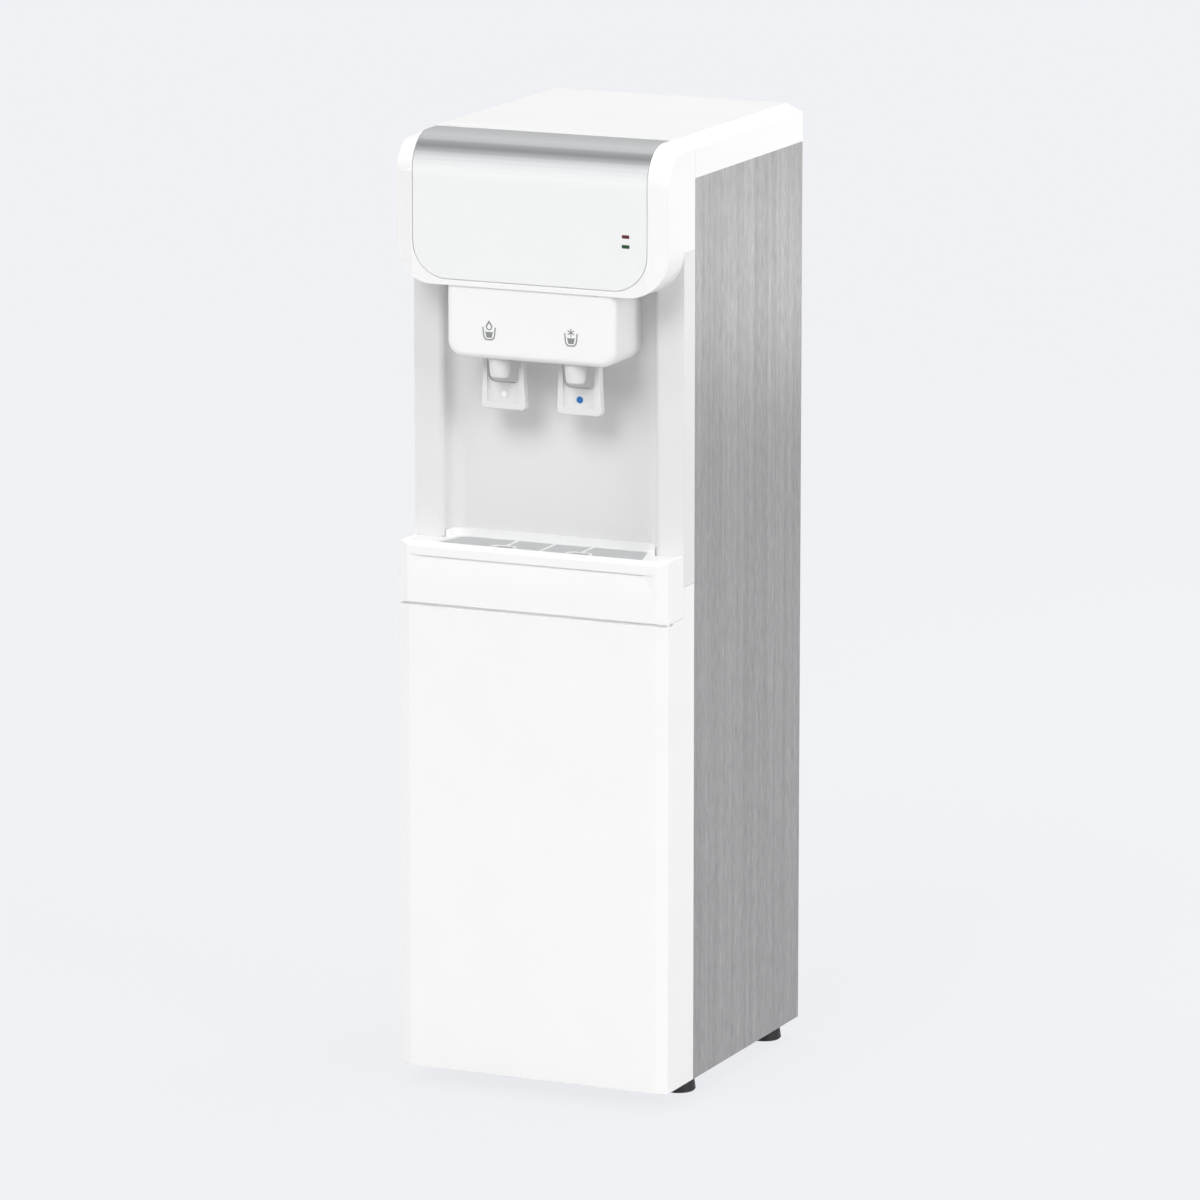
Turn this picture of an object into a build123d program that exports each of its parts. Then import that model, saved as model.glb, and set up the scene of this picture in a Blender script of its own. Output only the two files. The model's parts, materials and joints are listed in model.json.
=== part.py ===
"""A free-standing point-of-use water cooler with two push-back taps, built piece by piece.

Millimetres. +Z is up, the front faces -Y, and the origin is on the floor under the middle.
"""

from build123d import *
from math import cos, pi, radians, sin, sqrt
import os

os.makedirs("parts", exist_ok=True)
pieces = []

# Overall size
body_width = 300
body_depth = 350
body_height = 992
foot_height = 20

# How far each plane of the front stands behind the fascia's face
head_edge_setback = 7.5
housing_setback = 2
tray_setback = 3.5
door_setback = 5
stile_setback = 46
panel_setback = 73.5
alcove_depth = 23
rear_recess = 25

# Heights of the main pieces
door_height = 488
seam_rise = 32
tray_height = 64
head_height = 152.5
cap_height = 39
housing_height = 73.5
tap_drop = 45.5
shelf_drop = 66

# Walls and clearances
plastic_wall = 2.5
sheet_wall = 1
seam_gap = 0.4
slide_gap = 0.4
body_gap = 0.3
shaft_gap = 0.05

# Planes and heights that follow
half_width = body_width / 2
front_y = -body_depth / 2
rear_y = body_depth / 2
head_edge_y = front_y + head_edge_setback
housing_y = front_y + housing_setback
tray_y = front_y + tray_setback
door_y = front_y + door_setback
stile_y = front_y + stile_setback
panel_y = front_y + panel_setback
cover_rear_y = panel_y - seam_gap
alcove_y = stile_y + alcove_depth
rear_panel_y = rear_y - rear_recess
base_z = foot_height
door_top_z = base_z + door_height
seam_z = door_top_z + seam_rise
tray_z = door_top_z + slide_gap
tray_top_z = tray_z + tray_height
head_z = body_height - head_height
cap_z = body_height - cap_height
housing_z = head_z - housing_height
tap_z = head_z - tap_drop
shelf_z = tap_z - shelf_drop


def block(low, high, mode=Mode.ADD):
    """A box between two opposite corners."""
    middle = tuple((a + b) / 2 for a, b in zip(low, high))
    size = [b - a for a, b in zip(low, high)]
    with Locations(middle):
        Box(*size, mode=mode)


def rod(start, end, radius, mode=Mode.ADD):
    """A round bar, or a round hole, from one point to another."""
    run = Vector(*end) - Vector(*start)
    with Locations(Plane(origin=start, z_dir=run)):
        Cylinder(radius, run.length, align=(Align.CENTER, Align.CENTER, Align.MIN), mode=mode)


def round_tube(points, bend, radius, bore=0):
    """A bent tube along straight runs joined by arcs, solid where it has no bore."""
    with BuildPart() as tube:
        with BuildLine() as route:
            if len(points) > 2:
                FilletPolyline(*points, radius=bend)
            else:
                Line(*points)
        with BuildSketch(Plane(origin=points[0], z_dir=Vector(*points[1]) - Vector(*points[0]))):
            Circle(radius)
            if bore:
                Circle(bore, mode=Mode.SUBTRACT)
        sweep()
    return tube.part


def wound_tube(centre, winding_radius, pitch, turns, radius):
    """A helical tube on arcs: each quarter turn is two arcs that meet in a common tangent."""
    x, y, z = centre
    with BuildPart() as tube:
        with BuildLine() as route:
            for quarter in range(4 * turns):
                ends = []
                directions = []
                for step in (quarter, quarter + 1):
                    angle = step * pi / 2
                    around = Vector(cos(angle), sin(angle), 0)
                    ends.append(Vector(x, y, z + pitch * step / 4) + around * winding_radius)
                    climb = Vector(0, 0, pitch / (2 * pi * winding_radius))
                    directions.append((Vector(-around.Y, around.X, 0) + climb).normalized())
                chord = ends[1] - ends[0]
                both = directions[0] + directions[1]
                along = chord.dot(both)
                spare = 4 - both.length**2
                reach = (sqrt(along**2 + spare * chord.length**2) - along) / spare
                leaving = ends[0] + directions[0] * reach
                arriving = ends[1] - directions[1] * reach
                meeting = (leaving + arriving) / 2
                TangentArc(ends[0], meeting, tangent=directions[0])
                TangentArc(meeting, ends[1], tangent=arriving - leaving)
        with BuildSketch(Plane(origin=route.line @ 0, z_dir=route.line % 0)):
            Circle(radius)
        sweep()
    steps = 24
    points = [route.line @ (index / (steps * turns)) for index in range(steps * turns + 1)]
    nearest = min(
        (late - early).length
        for index, early in enumerate(points)
        for late in points[index + steps // 2 :]
    )
    print("least gap between turns", round(nearest - 2 * radius, 2))
    return tube.part


def front_outline(outline_half, bottom, top, radius):
    """The outline seen from the front, with its two lower corners rounded."""
    with BuildSketch(Plane.XZ) as outline:
        with Locations((0, (bottom + top) / 2)):
            Rectangle(2 * outline_half, top - bottom)
        fillet(outline.vertices().group_by(Axis.Y)[0], radius)
    return outline.sketch


def side_profile(x, front, top, radius, rear, bottom):
    """The outline seen from the side at x, with its upper front corner rounded."""
    slack = radius * (1 - cos(radians(45)))
    with BuildSketch(Plane.YZ.offset(x)) as profile:
        with BuildLine():
            Polyline((front + radius, top), (rear, top), (rear, bottom), (front, bottom), (front, top - radius))
            ThreePointArc((front, top - radius), (front + slack, top - slack), (front + radius, top))
        make_face()
    return profile.sketch


def keep(builder, name):
    """Names a finished piece and puts it on the list of pieces."""
    builder.part.label = name
    pieces.append(builder.part)


# Base pan: a folded steel tray with weld nuts for the feet and studs for the compressor
pan_half = half_width - sheet_wall - seam_gap
pan_front_y = panel_y + 2
pan_rear_y = rear_y - 7
pan_wall = 2
pan_lip = 20
foot_side_inset = 28
foot_end_inset = 25.75
foot_spread_x = body_width - 2 * foot_side_inset
foot_spread_y = rear_y - panel_y - 2 * foot_end_inset
foot_mid_y = (panel_y + rear_y) / 2
foot_stud_radius = 4
foot_stud_length = 24
weld_nut_radius = 8
weld_nut_height = 6
compressor_x = half_width - 110
compressor_y = foot_mid_y + 41.25
mount_spread_x = 124
mount_spread_y = 96
mount_stud_radius = 3
mount_stud_height = 30
pan_floor_z = base_z + pan_wall
shell_lift = 22
shell_height = 150
stub_rise = 8
line_start_z = pan_floor_z + shell_lift + shell_height + stub_rise
bay_rise = 48
bay_top_z = line_start_z + bay_rise
vent_rows = 6
vent_pitch = 14

with BuildPart() as base_pan:
    block((-pan_half, pan_front_y, base_z), (pan_half, pan_rear_y, base_z + pan_lip))
    block(
        (-pan_half + pan_wall, pan_front_y + pan_wall, pan_floor_z),
        (pan_half - pan_wall, pan_rear_y - pan_wall, base_z + 2 * pan_lip),
        mode=Mode.SUBTRACT,
    )
    with Locations((0, foot_mid_y, pan_floor_z)):
        with GridLocations(foot_spread_x, foot_spread_y, 2, 2):
            Cylinder(weld_nut_radius, weld_nut_height, align=(Align.CENTER, Align.CENTER, Align.MIN))
            Cylinder(foot_stud_radius + shaft_gap, 4 * weld_nut_height, mode=Mode.SUBTRACT)
    with Locations((compressor_x, compressor_y, pan_floor_z - pan_wall)):
        with GridLocations(mount_spread_x, mount_spread_y, 2, 2):
            Cylinder(mount_stud_radius, mount_stud_height + pan_wall, align=(Align.CENTER, Align.CENTER, Align.MIN))
    with Locations((-pan_half / 2 - 20, foot_mid_y, base_z)):
        with GridLocations(1, vent_pitch, 1, vent_rows):
            Box(60, 5, 4 * pan_wall, mode=Mode.SUBTRACT)
keep(base_pan, "base_pan")

# Side panels: brushed sheet steel, folded in at the front and rear, with a flange for the rear panel
flange_width = 14
rear_flange_half = half_width - sheet_wall - flange_width
screw_radius = 1.6
screw_x = half_width - 9
low_screw_z = bay_top_z + 40
high_screw_z = cap_z - 33
screw_heights = (low_screw_z, (low_screw_z + high_screw_z) / 2, high_screw_z)
rear_panel_top_z = cap_z - 10

for side, word in ((-1, "left"), (1, "right")):
    with BuildPart() as side_panel:
        with BuildSketch(Plane.XY.offset(base_z)):
            with Locations((side * (half_width - sheet_wall / 2), (panel_y + rear_y) / 2)):
                Rectangle(sheet_wall, rear_y - panel_y)
            for flange_y in (panel_y, rear_y - sheet_wall):
                with Locations((side * (half_width - flange_width / 2), flange_y + sheet_wall / 2)):
                    Rectangle(flange_width, sheet_wall)
        extrude(amount=cap_z - base_z)
        with BuildSketch(Plane.XY.offset(bay_top_z)):
            with Locations((side * (half_width - flange_width / 2), rear_panel_y - sheet_wall / 2)):
                Rectangle(flange_width, sheet_wall)
        extrude(amount=rear_panel_top_z - bay_top_z)
        rear_bends = side_panel.edges().filter_by(Axis.Z).group_by(Axis.Y)[-1].sort_by(Axis.X)
        fillet(rear_bends[0 if side < 0 else -1], sheet_wall * 0.8)
        for height in screw_heights:
            rod(
                (side * screw_x, rear_panel_y - 2, height),
                (side * screw_x, rear_panel_y + 1, height),
                screw_radius + shaft_gap,
                mode=Mode.SUBTRACT,
            )
    keep(side_panel, f"side_panel_{word}")

# Where the services pass through the rear panel
service_x = half_width - 28
power_x = 35 - half_width
thermostat_z = cap_z - 53
power_z = bay_top_z + 50
inlet_z = bay_top_z + 150
inlet_radius = 8
shelf_wall = 2
foam_floor = 28
foam_z = shelf_z + shelf_wall
tank_z = foam_z + foam_floor
drain_z = tank_z + 12
drain_radius = 5
knob_shaft_radius = 3
module_half_x = 13.5
module_half_z = 29

with BuildPart() as rear_panel:
    block(
        (-pan_half, rear_panel_y, bay_top_z),
        (pan_half, rear_panel_y + sheet_wall, rear_panel_top_z),
    )
    block(
        (-pan_half + flange_width, rear_panel_y - 12, bay_top_z),
        (pan_half - flange_width, rear_panel_y, bay_top_z + sheet_wall),
    )
    rod((service_x, rear_panel_y - 5, thermostat_z), (service_x, rear_panel_y + 5, thermostat_z), 6, mode=Mode.SUBTRACT)
    rod(
        (-service_x, rear_panel_y - 5, inlet_z),
        (-service_x, rear_panel_y + 5, inlet_z),
        inlet_radius + shaft_gap,
        mode=Mode.SUBTRACT,
    )
    rod((0, rear_panel_y - 5, drain_z), (0, rear_panel_y + 5, drain_z), drain_radius + body_gap, mode=Mode.SUBTRACT)
    block(
        (power_x - module_half_x - body_gap, rear_panel_y - 5, power_z - module_half_z - body_gap),
        (power_x + module_half_x + body_gap, rear_panel_y + 5, power_z + module_half_z + body_gap),
        mode=Mode.SUBTRACT,
    )
    for side in (-1, 1):
        for height in screw_heights:
            rod(
                (side * screw_x, rear_panel_y - 2, height),
                (side * screw_x, rear_panel_y + 2, height),
                screw_radius + body_gap,
                mode=Mode.SUBTRACT,
            )
    with Locations((0, rear_panel_y, (drain_z + rear_panel_top_z) / 2 + 20)):
        with GridLocations(90, 14, 2, 1):
            for row in range(-3, 4):
                with Locations((0, 0, row * 14)):
                    Box(70, 4 * sheet_wall, 4, mode=Mode.SUBTRACT)
keep(rear_panel, "rear_panel")

# Top cover: a shallow cap with a chamfer along each side
cap_chamfer_x = 18.6
cap_chamfer_z = 8.5
cap_lip = 8
cap_edge_z = body_height - cap_chamfer_z


def cap_section(inset, bottom):
    """The cap's section across the body, drawn in by the inset."""
    slope = sqrt(cap_chamfer_x**2 + cap_chamfer_z**2)
    shift = inset * (slope - cap_chamfer_x) / cap_chamfer_z
    edge_x = half_width - inset
    edge_z = cap_edge_z - inset * slope / cap_chamfer_x + inset * cap_chamfer_z / cap_chamfer_x
    top_x = half_width - cap_chamfer_x - shift
    with BuildSketch(Plane.XZ) as section:
        Polygon(
            (-edge_x, bottom),
            (edge_x, bottom),
            (edge_x, edge_z),
            (top_x, body_height - inset),
            (-top_x, body_height - inset),
            (-edge_x, edge_z),
            align=None,
        )
    return section.sketch


with BuildPart() as cap_hollow:
    extrude(cap_section(plastic_wall, cap_z), amount=body_depth, both=True)
    block(
        (-half_width, rear_y - plastic_wall, cap_z),
        (half_width, 2 * body_depth, body_height),
        mode=Mode.SUBTRACT,
    )

with BuildPart() as top_cover:
    extrude(cap_section(0, cap_z), amount=body_depth, both=True)
    block((-half_width, -body_depth, cap_z), (half_width, panel_y, body_height), mode=Mode.SUBTRACT)
    block((-half_width, rear_y, cap_z), (half_width, 2 * body_depth, body_height), mode=Mode.SUBTRACT)
    add(cap_hollow.part, mode=Mode.SUBTRACT)
    lip_half = half_width - sheet_wall - body_gap
    for side in (-1, 1):
        lip_x = sorted((side * lip_half, side * (lip_half - plastic_wall)))
        block((lip_x[0], panel_y + 3, cap_z - cap_lip), (lip_x[1], rear_y - 3, cap_z + cap_lip))
keep(top_cover, "top_cover")

# Head cover: the bevelled nose over the taps, rounded back at the top
bevel_width = 20
fascia_radius = 38
edge_radius = 33
head_corner = 42
head_edge_z = cap_edge_z
bevel_x = half_width - bevel_width
head_side_z = head_z + head_corner
fascia_inset = 1
fascia_thickness = 2
fascia_groove = 0.8
fascia_drop = 0.2
fascia_bottom_z = head_z + 6.5
fascia_corner = 37
fascia_rear_y = front_y + 58
far_z = body_height + 20
housing_half = half_width - 57
tap_mouth_half = housing_half - 13
lens_x = bevel_x - 24
lens_z = (head_z + 61.8, head_z + 51.8)
lens_window = (28, 24)


def add_nose(wall, nose_half, rear):
    """The head's body with its bevelled sides, drawn in by a wall."""
    front = front_y + wall
    top = body_height - wall
    radius = fascia_radius - wall
    extrude(side_profile(0, front, top, radius, rear, head_z - 1), amount=bevel_x, both=True)
    for side in (-1, 1):
        inner = side_profile(side * bevel_x, front, top, radius, rear, head_z - 1)
        edge_front = head_edge_y + wall
        edge_top = head_edge_z - wall
        outer = side_profile(side * nose_half, edge_front, edge_top, edge_radius - wall, rear, head_z - 1)
        loft([inner, outer], ruled=True)


def curved_skin(skin_half, outside, inside, rear, bottom, corner):
    """A skin that follows the nose between two depths, with rounded lower corners."""
    with BuildPart() as skin:
        extrude(
            side_profile(0, front_y + outside, body_height - outside, fascia_radius - outside, rear, head_z - 1),
            amount=skin_half,
            both=True,
        )
        extrude(
            side_profile(0, front_y + inside, body_height - inside, fascia_radius - inside, rear_y, head_z - 2),
            amount=half_width,
            both=True,
            mode=Mode.SUBTRACT,
        )
        extrude(
            front_outline(skin_half, bottom, far_z, corner),
            amount=body_depth,
            both=True,
            mode=Mode.INTERSECT,
        )
    return skin.part


with BuildPart() as head_hollow:
    add_nose(plastic_wall + fascia_thickness, half_width - plastic_wall, panel_y)
    extrude(
        front_outline(half_width - plastic_wall, head_z + plastic_wall, far_z, head_corner - plastic_wall),
        amount=body_depth,
        both=True,
        mode=Mode.INTERSECT,
    )

with BuildPart() as head_cover:
    add_nose(0, half_width, cover_rear_y)
    extrude(
        front_outline(half_width, head_z, far_z, head_corner),
        amount=body_depth,
        both=True,
        mode=Mode.INTERSECT,
    )
    block((-half_width, stile_y, head_z - 1), (half_width, panel_y, head_side_z), mode=Mode.SUBTRACT)
    add(head_hollow.part, mode=Mode.SUBTRACT)
    recess = curved_skin(
        bevel_x - fascia_inset + fascia_groove,
        -1,
        fascia_thickness,
        fascia_rear_y + fascia_groove,
        fascia_bottom_z - fascia_groove,
        fascia_corner + fascia_groove,
    )
    add(recess, mode=Mode.SUBTRACT)
    block(
        (-tap_mouth_half, housing_y + 8, head_z - 1),
        (tap_mouth_half, stile_y - 8, head_z + plastic_wall + 1),
        mode=Mode.SUBTRACT,
    )
    block(
        (lens_x - lens_window[0] / 2, front_y - 1, sum(lens_z) / 2 - lens_window[1] / 2),
        (lens_x + lens_window[0] / 2, front_y + 10, sum(lens_z) / 2 + lens_window[1] / 2),
        mode=Mode.SUBTRACT,
    )
keep(head_cover, "head_cover")

# Fascia plate: a thin plate that follows the nose
lens_width = 8
lens_height = 3.2
plate_face_y = front_y + fascia_drop

with BuildPart() as fascia_plate:
    plate = curved_skin(
        bevel_x - fascia_inset,
        fascia_drop,
        fascia_thickness,
        fascia_rear_y,
        fascia_bottom_z,
        fascia_corner,
    )
    add(plate)
    for height in lens_z:
        block(
            (lens_x - lens_width / 2 - shaft_gap, front_y - 1, height - lens_height / 2 - shaft_gap),
            (lens_x + lens_width / 2 + shaft_gap, front_y + 5, height + lens_height / 2 + shaft_gap),
            mode=Mode.SUBTRACT,
        )
keep(fascia_plate, "fascia_plate")

# Indicator lenses and the board behind them
lens_proud = fascia_drop
lens_flange = 1
lens_rear_y = front_y + fascia_thickness + lens_flange
board_y = lens_rear_y + 3

for height, name in ((lens_z[0], "power_lens"), (lens_z[1], "cold_lens")):
    with BuildPart() as lens:
        with BuildSketch(Plane.XZ.offset(-lens_rear_y)):
            with Locations((lens_x, height)):
                RectangleRounded(lens_width, lens_height, 0.8)
        extrude(amount=lens_rear_y - plate_face_y + lens_proud)
        block(
            (lens_x - lens_width / 2 - 1, front_y + fascia_thickness, height - lens_height / 2 - 1),
            (lens_x + lens_width / 2 + 1, lens_rear_y, height + lens_height / 2 + 1),
        )
    keep(lens, name)

with BuildPart() as indicator_board:
    block((lens_x - 18, board_y, lens_z[1] - 20), (lens_x + 18, board_y + 1.6, lens_z[0] + 20))
    for height in lens_z:
        rod((lens_x, board_y, height), (lens_x, lens_rear_y + 0.2, height), 1.5)
    for corner_x in (-14, 14):
        for corner_z in (lens_z[1] - 17, lens_z[0] + 17):
            rod(
                (lens_x + corner_x, front_y + fascia_thickness + plastic_wall, corner_z),
                (lens_x + corner_x, board_y, corner_z),
                2,
            )
keep(indicator_board, "indicator_board")

# Alcove frame: the two stiles, the recess between them and its side returns
mouth_half = half_width - 26
mouth_lip = 6.5
cove_radius = alcove_depth - mouth_lip
alcove_floor_z = seam_z + plastic_wall
frame_top_z = head_side_z + 50
tap_spread = 84
spigot_radius = 6


def alcove_plan(grow, front):
    """The recess in plan, grown outwards by a wall."""
    lip_x = mouth_half - mouth_lip + grow
    cove = cove_radius + grow
    centre_y = stile_y + mouth_lip
    lean = cos(radians(45))
    with BuildSketch(Plane.XY) as plan:
        with BuildLine():
            Line((-lip_x + cove, centre_y + cove), (lip_x - cove, centre_y + cove))
            for side in (-1, 1):
                ThreePointArc(
                    (side * lip_x, centre_y),
                    (side * (lip_x - cove + cove * lean), centre_y + cove * lean),
                    (side * (lip_x - cove), centre_y + cove),
                )
            if front < stile_y:
                for side in (-1, 1):
                    ThreePointArc(
                        (side * mouth_half, stile_y),
                        (side * (mouth_half - mouth_lip * lean), centre_y - mouth_lip * lean),
                        (side * lip_x, centre_y),
                    )
                Polyline((-mouth_half, stile_y), (-mouth_half, front), (mouth_half, front), (mouth_half, stile_y))
            else:
                Polyline((-lip_x, centre_y), (-lip_x, front), (lip_x, front), (lip_x, centre_y))
        make_face()
    return plan.sketch


with BuildPart() as alcove_frame:
    block((-half_width, stile_y, seam_z), (half_width, stile_y + plastic_wall, head_side_z - seam_gap))
    upper_half = half_width - 2 * plastic_wall
    block((-upper_half, stile_y, head_side_z - 1), (upper_half, stile_y + plastic_wall, frame_top_z))
    for side in (-1, 1):
        wall_x = sorted((side * half_width, side * (half_width - plastic_wall)))
        block((wall_x[0], stile_y, seam_z), (wall_x[1], cover_rear_y, head_side_z))
    tub = alcove_plan(plastic_wall, stile_y)
    add(extrude(tub.moved(Location((0, 0, seam_z))), amount=head_z + plastic_wall - seam_z, mode=Mode.PRIVATE))
    block(
        (-mouth_half - plastic_wall, stile_y, seam_z),
        (mouth_half + plastic_wall, stile_y + mouth_lip + 1, head_z + plastic_wall),
    )
    hollow = alcove_plan(0, stile_y - 5)
    hollow_up = extrude(
        hollow.moved(Location((0, 0, alcove_floor_z))), amount=head_z - alcove_floor_z, mode=Mode.PRIVATE
    )
    add(hollow_up, mode=Mode.SUBTRACT)
    for side in (-1, 1):
        rod(
            (side * tap_spread / 2, alcove_y - 5, tap_z),
            (side * tap_spread / 2, alcove_y + 10, tap_z),
            spigot_radius + body_gap,
            mode=Mode.SUBTRACT,
        )
keep(alcove_frame, "alcove_frame")

# Tap housing: the box under the head that holds both taps
housing_corner = 17
housing_edge = 7
housing_rear_y = alcove_y
housing_top_z = head_z - 0.3
tap_y = front_y + 20.7
pivot_reach = 11.5
pivot_y = tap_y - pivot_reach
pivot_z = tap_z + 16
pin_radius = 1.5
lever_hub_half = 21.8
ear_width = 3.5
tap_opening_half = 26

with BuildPart() as housing_hollow:
    extrude(
        front_outline(
            housing_half - plastic_wall, housing_z + plastic_wall, far_z, housing_corner - plastic_wall
        ),
        amount=body_depth,
        both=True,
    )
    block((-half_width, -2 * body_depth, 0), (half_width, housing_y + plastic_wall, far_z), mode=Mode.SUBTRACT)

with BuildPart() as tap_housing:
    extrude(front_outline(housing_half, housing_z, housing_top_z, housing_corner), amount=body_depth, both=True)
    block((-half_width, -2 * body_depth, 0), (half_width, housing_y, far_z), mode=Mode.SUBTRACT)
    block((-half_width, housing_rear_y, 0), (half_width, 2 * body_depth, far_z), mode=Mode.SUBTRACT)
    front_rim = tap_housing.faces().sort_by(Axis.Y)[0].edges()
    fillet(front_rim.sort_by(Axis.Z)[:-1], housing_edge)
    add(housing_hollow.part, mode=Mode.SUBTRACT)
    for side in (-1, 1):
        tap_x = side * tap_spread / 2
        block(
            (tap_x - tap_opening_half, housing_y + 5.5, housing_z - 1),
            (tap_x + tap_opening_half, stile_y + 7, housing_z + 2 * plastic_wall),
            mode=Mode.SUBTRACT,
        )
        for ear in (-1, 1):
            ear_x = sorted(tap_x + ear * (lever_hub_half + body_gap + shift) for shift in (0, ear_width))
            block(
                (ear_x[0], housing_y + plastic_wall - 0.5, pivot_z - 5),
                (ear_x[1], pivot_y + 4, pivot_z + 5),
            )
            rod(
                (ear_x[0] - 0.1, pivot_y, pivot_z),
                (ear_x[1] + 0.1, pivot_y, pivot_z),
                pin_radius + 0.02,
                mode=Mode.SUBTRACT,
            )
keep(tap_housing, "tap_housing")

# Lever pins, one group of two
with BuildPart() as lever_pins:
    for side in (-1, 1):
        pin_half = lever_hub_half + body_gap + ear_width
        rod(
            (side * tap_spread / 2 - pin_half, pivot_y, pivot_z),
            (side * tap_spread / 2 + pin_half, pivot_y, pivot_z),
            pin_radius,
        )
keep(lever_pins, "lever_pins")

# Taps: valve body with its nozzle, stem with its seal, and return spring
nozzle_bottom_z = housing_z - 20.5
nozzle_tip_radius = 9.5
nozzle_radius = 12.5
nozzle_taper = 22.5
valve_top_z = pivot_z - 6.5
valve_cap = 2.5
seat_z = tap_z - 8
outlet_radius = 5.5
seat_radius = 4.5
chamber_radius = 9.5
spigot_end_y = alcove_y + 10
spigot_bore = 4.2
stem_radius = 3
stem_collar_radius = 6.2
collar_z = pivot_z + 2
seal_radius = 8
seal_thickness = 3.2
spring_radius = 6
spring_wire = 0.7
spring_turns = 4
spring_seat = 0.2
chamber_top_z = valve_top_z - valve_cap

for side, word in ((-1, "left"), (1, "right")):
    tap_x = side * tap_spread / 2
    with BuildPart() as tap_valve:
        with Locations((tap_x, tap_y, nozzle_bottom_z)):
            Cone(nozzle_tip_radius, nozzle_radius, nozzle_taper, align=(Align.CENTER, Align.CENTER, Align.MIN))
        fillet(tap_valve.edges().sort_by(Axis.Z)[0], 2.5)
        rod((tap_x, tap_y, nozzle_bottom_z + nozzle_taper), (tap_x, tap_y, valve_top_z), nozzle_radius)
        rod((tap_x, tap_y, tap_z), (tap_x, spigot_end_y, tap_z), spigot_radius)
        rod((tap_x, tap_y, nozzle_bottom_z - 1), (tap_x, tap_y, seat_z - 2), outlet_radius, mode=Mode.SUBTRACT)
        rod((tap_x, tap_y, seat_z - 3), (tap_x, tap_y, seat_z + 1), seat_radius, mode=Mode.SUBTRACT)
        rod((tap_x, tap_y, seat_z), (tap_x, tap_y, chamber_top_z), chamber_radius, mode=Mode.SUBTRACT)
        rod((tap_x, tap_y, tap_z), (tap_x, spigot_end_y + 1, tap_z), spigot_bore, mode=Mode.SUBTRACT)
        rod(
            (tap_x, tap_y, chamber_top_z - 1),
            (tap_x, tap_y, valve_top_z + 1),
            stem_radius + shaft_gap,
            mode=Mode.SUBTRACT,
        )
    keep(tap_valve, f"tap_valve_{word}")

    seal_z = seat_z + body_gap
    with BuildPart() as valve_stem:
        rod((tap_x, tap_y, seal_z), (tap_x, tap_y, seal_z + seal_thickness), seal_radius)
        rod((tap_x, tap_y, seal_z), (tap_x, tap_y, collar_z + 4), stem_radius)
        rod((tap_x, tap_y, collar_z), (tap_x, tap_y, collar_z + 4), stem_collar_radius)
    keep(valve_stem, f"valve_stem_{word}")

    spring_low_z = seal_z + seal_thickness + spring_wire + spring_seat
    spring_high_z = chamber_top_z - spring_wire - spring_seat
    spring_pitch = (spring_high_z - spring_low_z) / spring_turns
    with BuildPart() as valve_spring:
        add(wound_tube((tap_x, tap_y, spring_low_z), spring_radius, spring_pitch, spring_turns, spring_wire))
    keep(valve_spring, f"valve_spring_{word}")

# Levers: a paddle behind each nozzle, hung from its pin, with a fork that lifts the stem
lever_front_y = front_y + 28
lever_depth = 9
lever_bottom_z = nozzle_bottom_z - 34.5
lever_half_bottom = 24.6
lever_half_top = 21.8
lever_corner = 5
cutout_half = 17.8
cutout_z = lever_bottom_z + 27
cutout_corner = 8
lip_height = 7.5
pocket_depth = 3
panel_thickness = 2.5
arm_width = 3.6
arm_top_z = housing_z + 6
fork_half = 1.7
fork_inner = 3.6
fork_outer = 7
fork_reach = pivot_reach + 0.5
dot_radius = 3.5
dot_height = 0.8
dot_z = lever_bottom_z + 15.5
lever_rear_y = lever_front_y + lever_depth
panel_face_y = lever_front_y + pocket_depth

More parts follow.
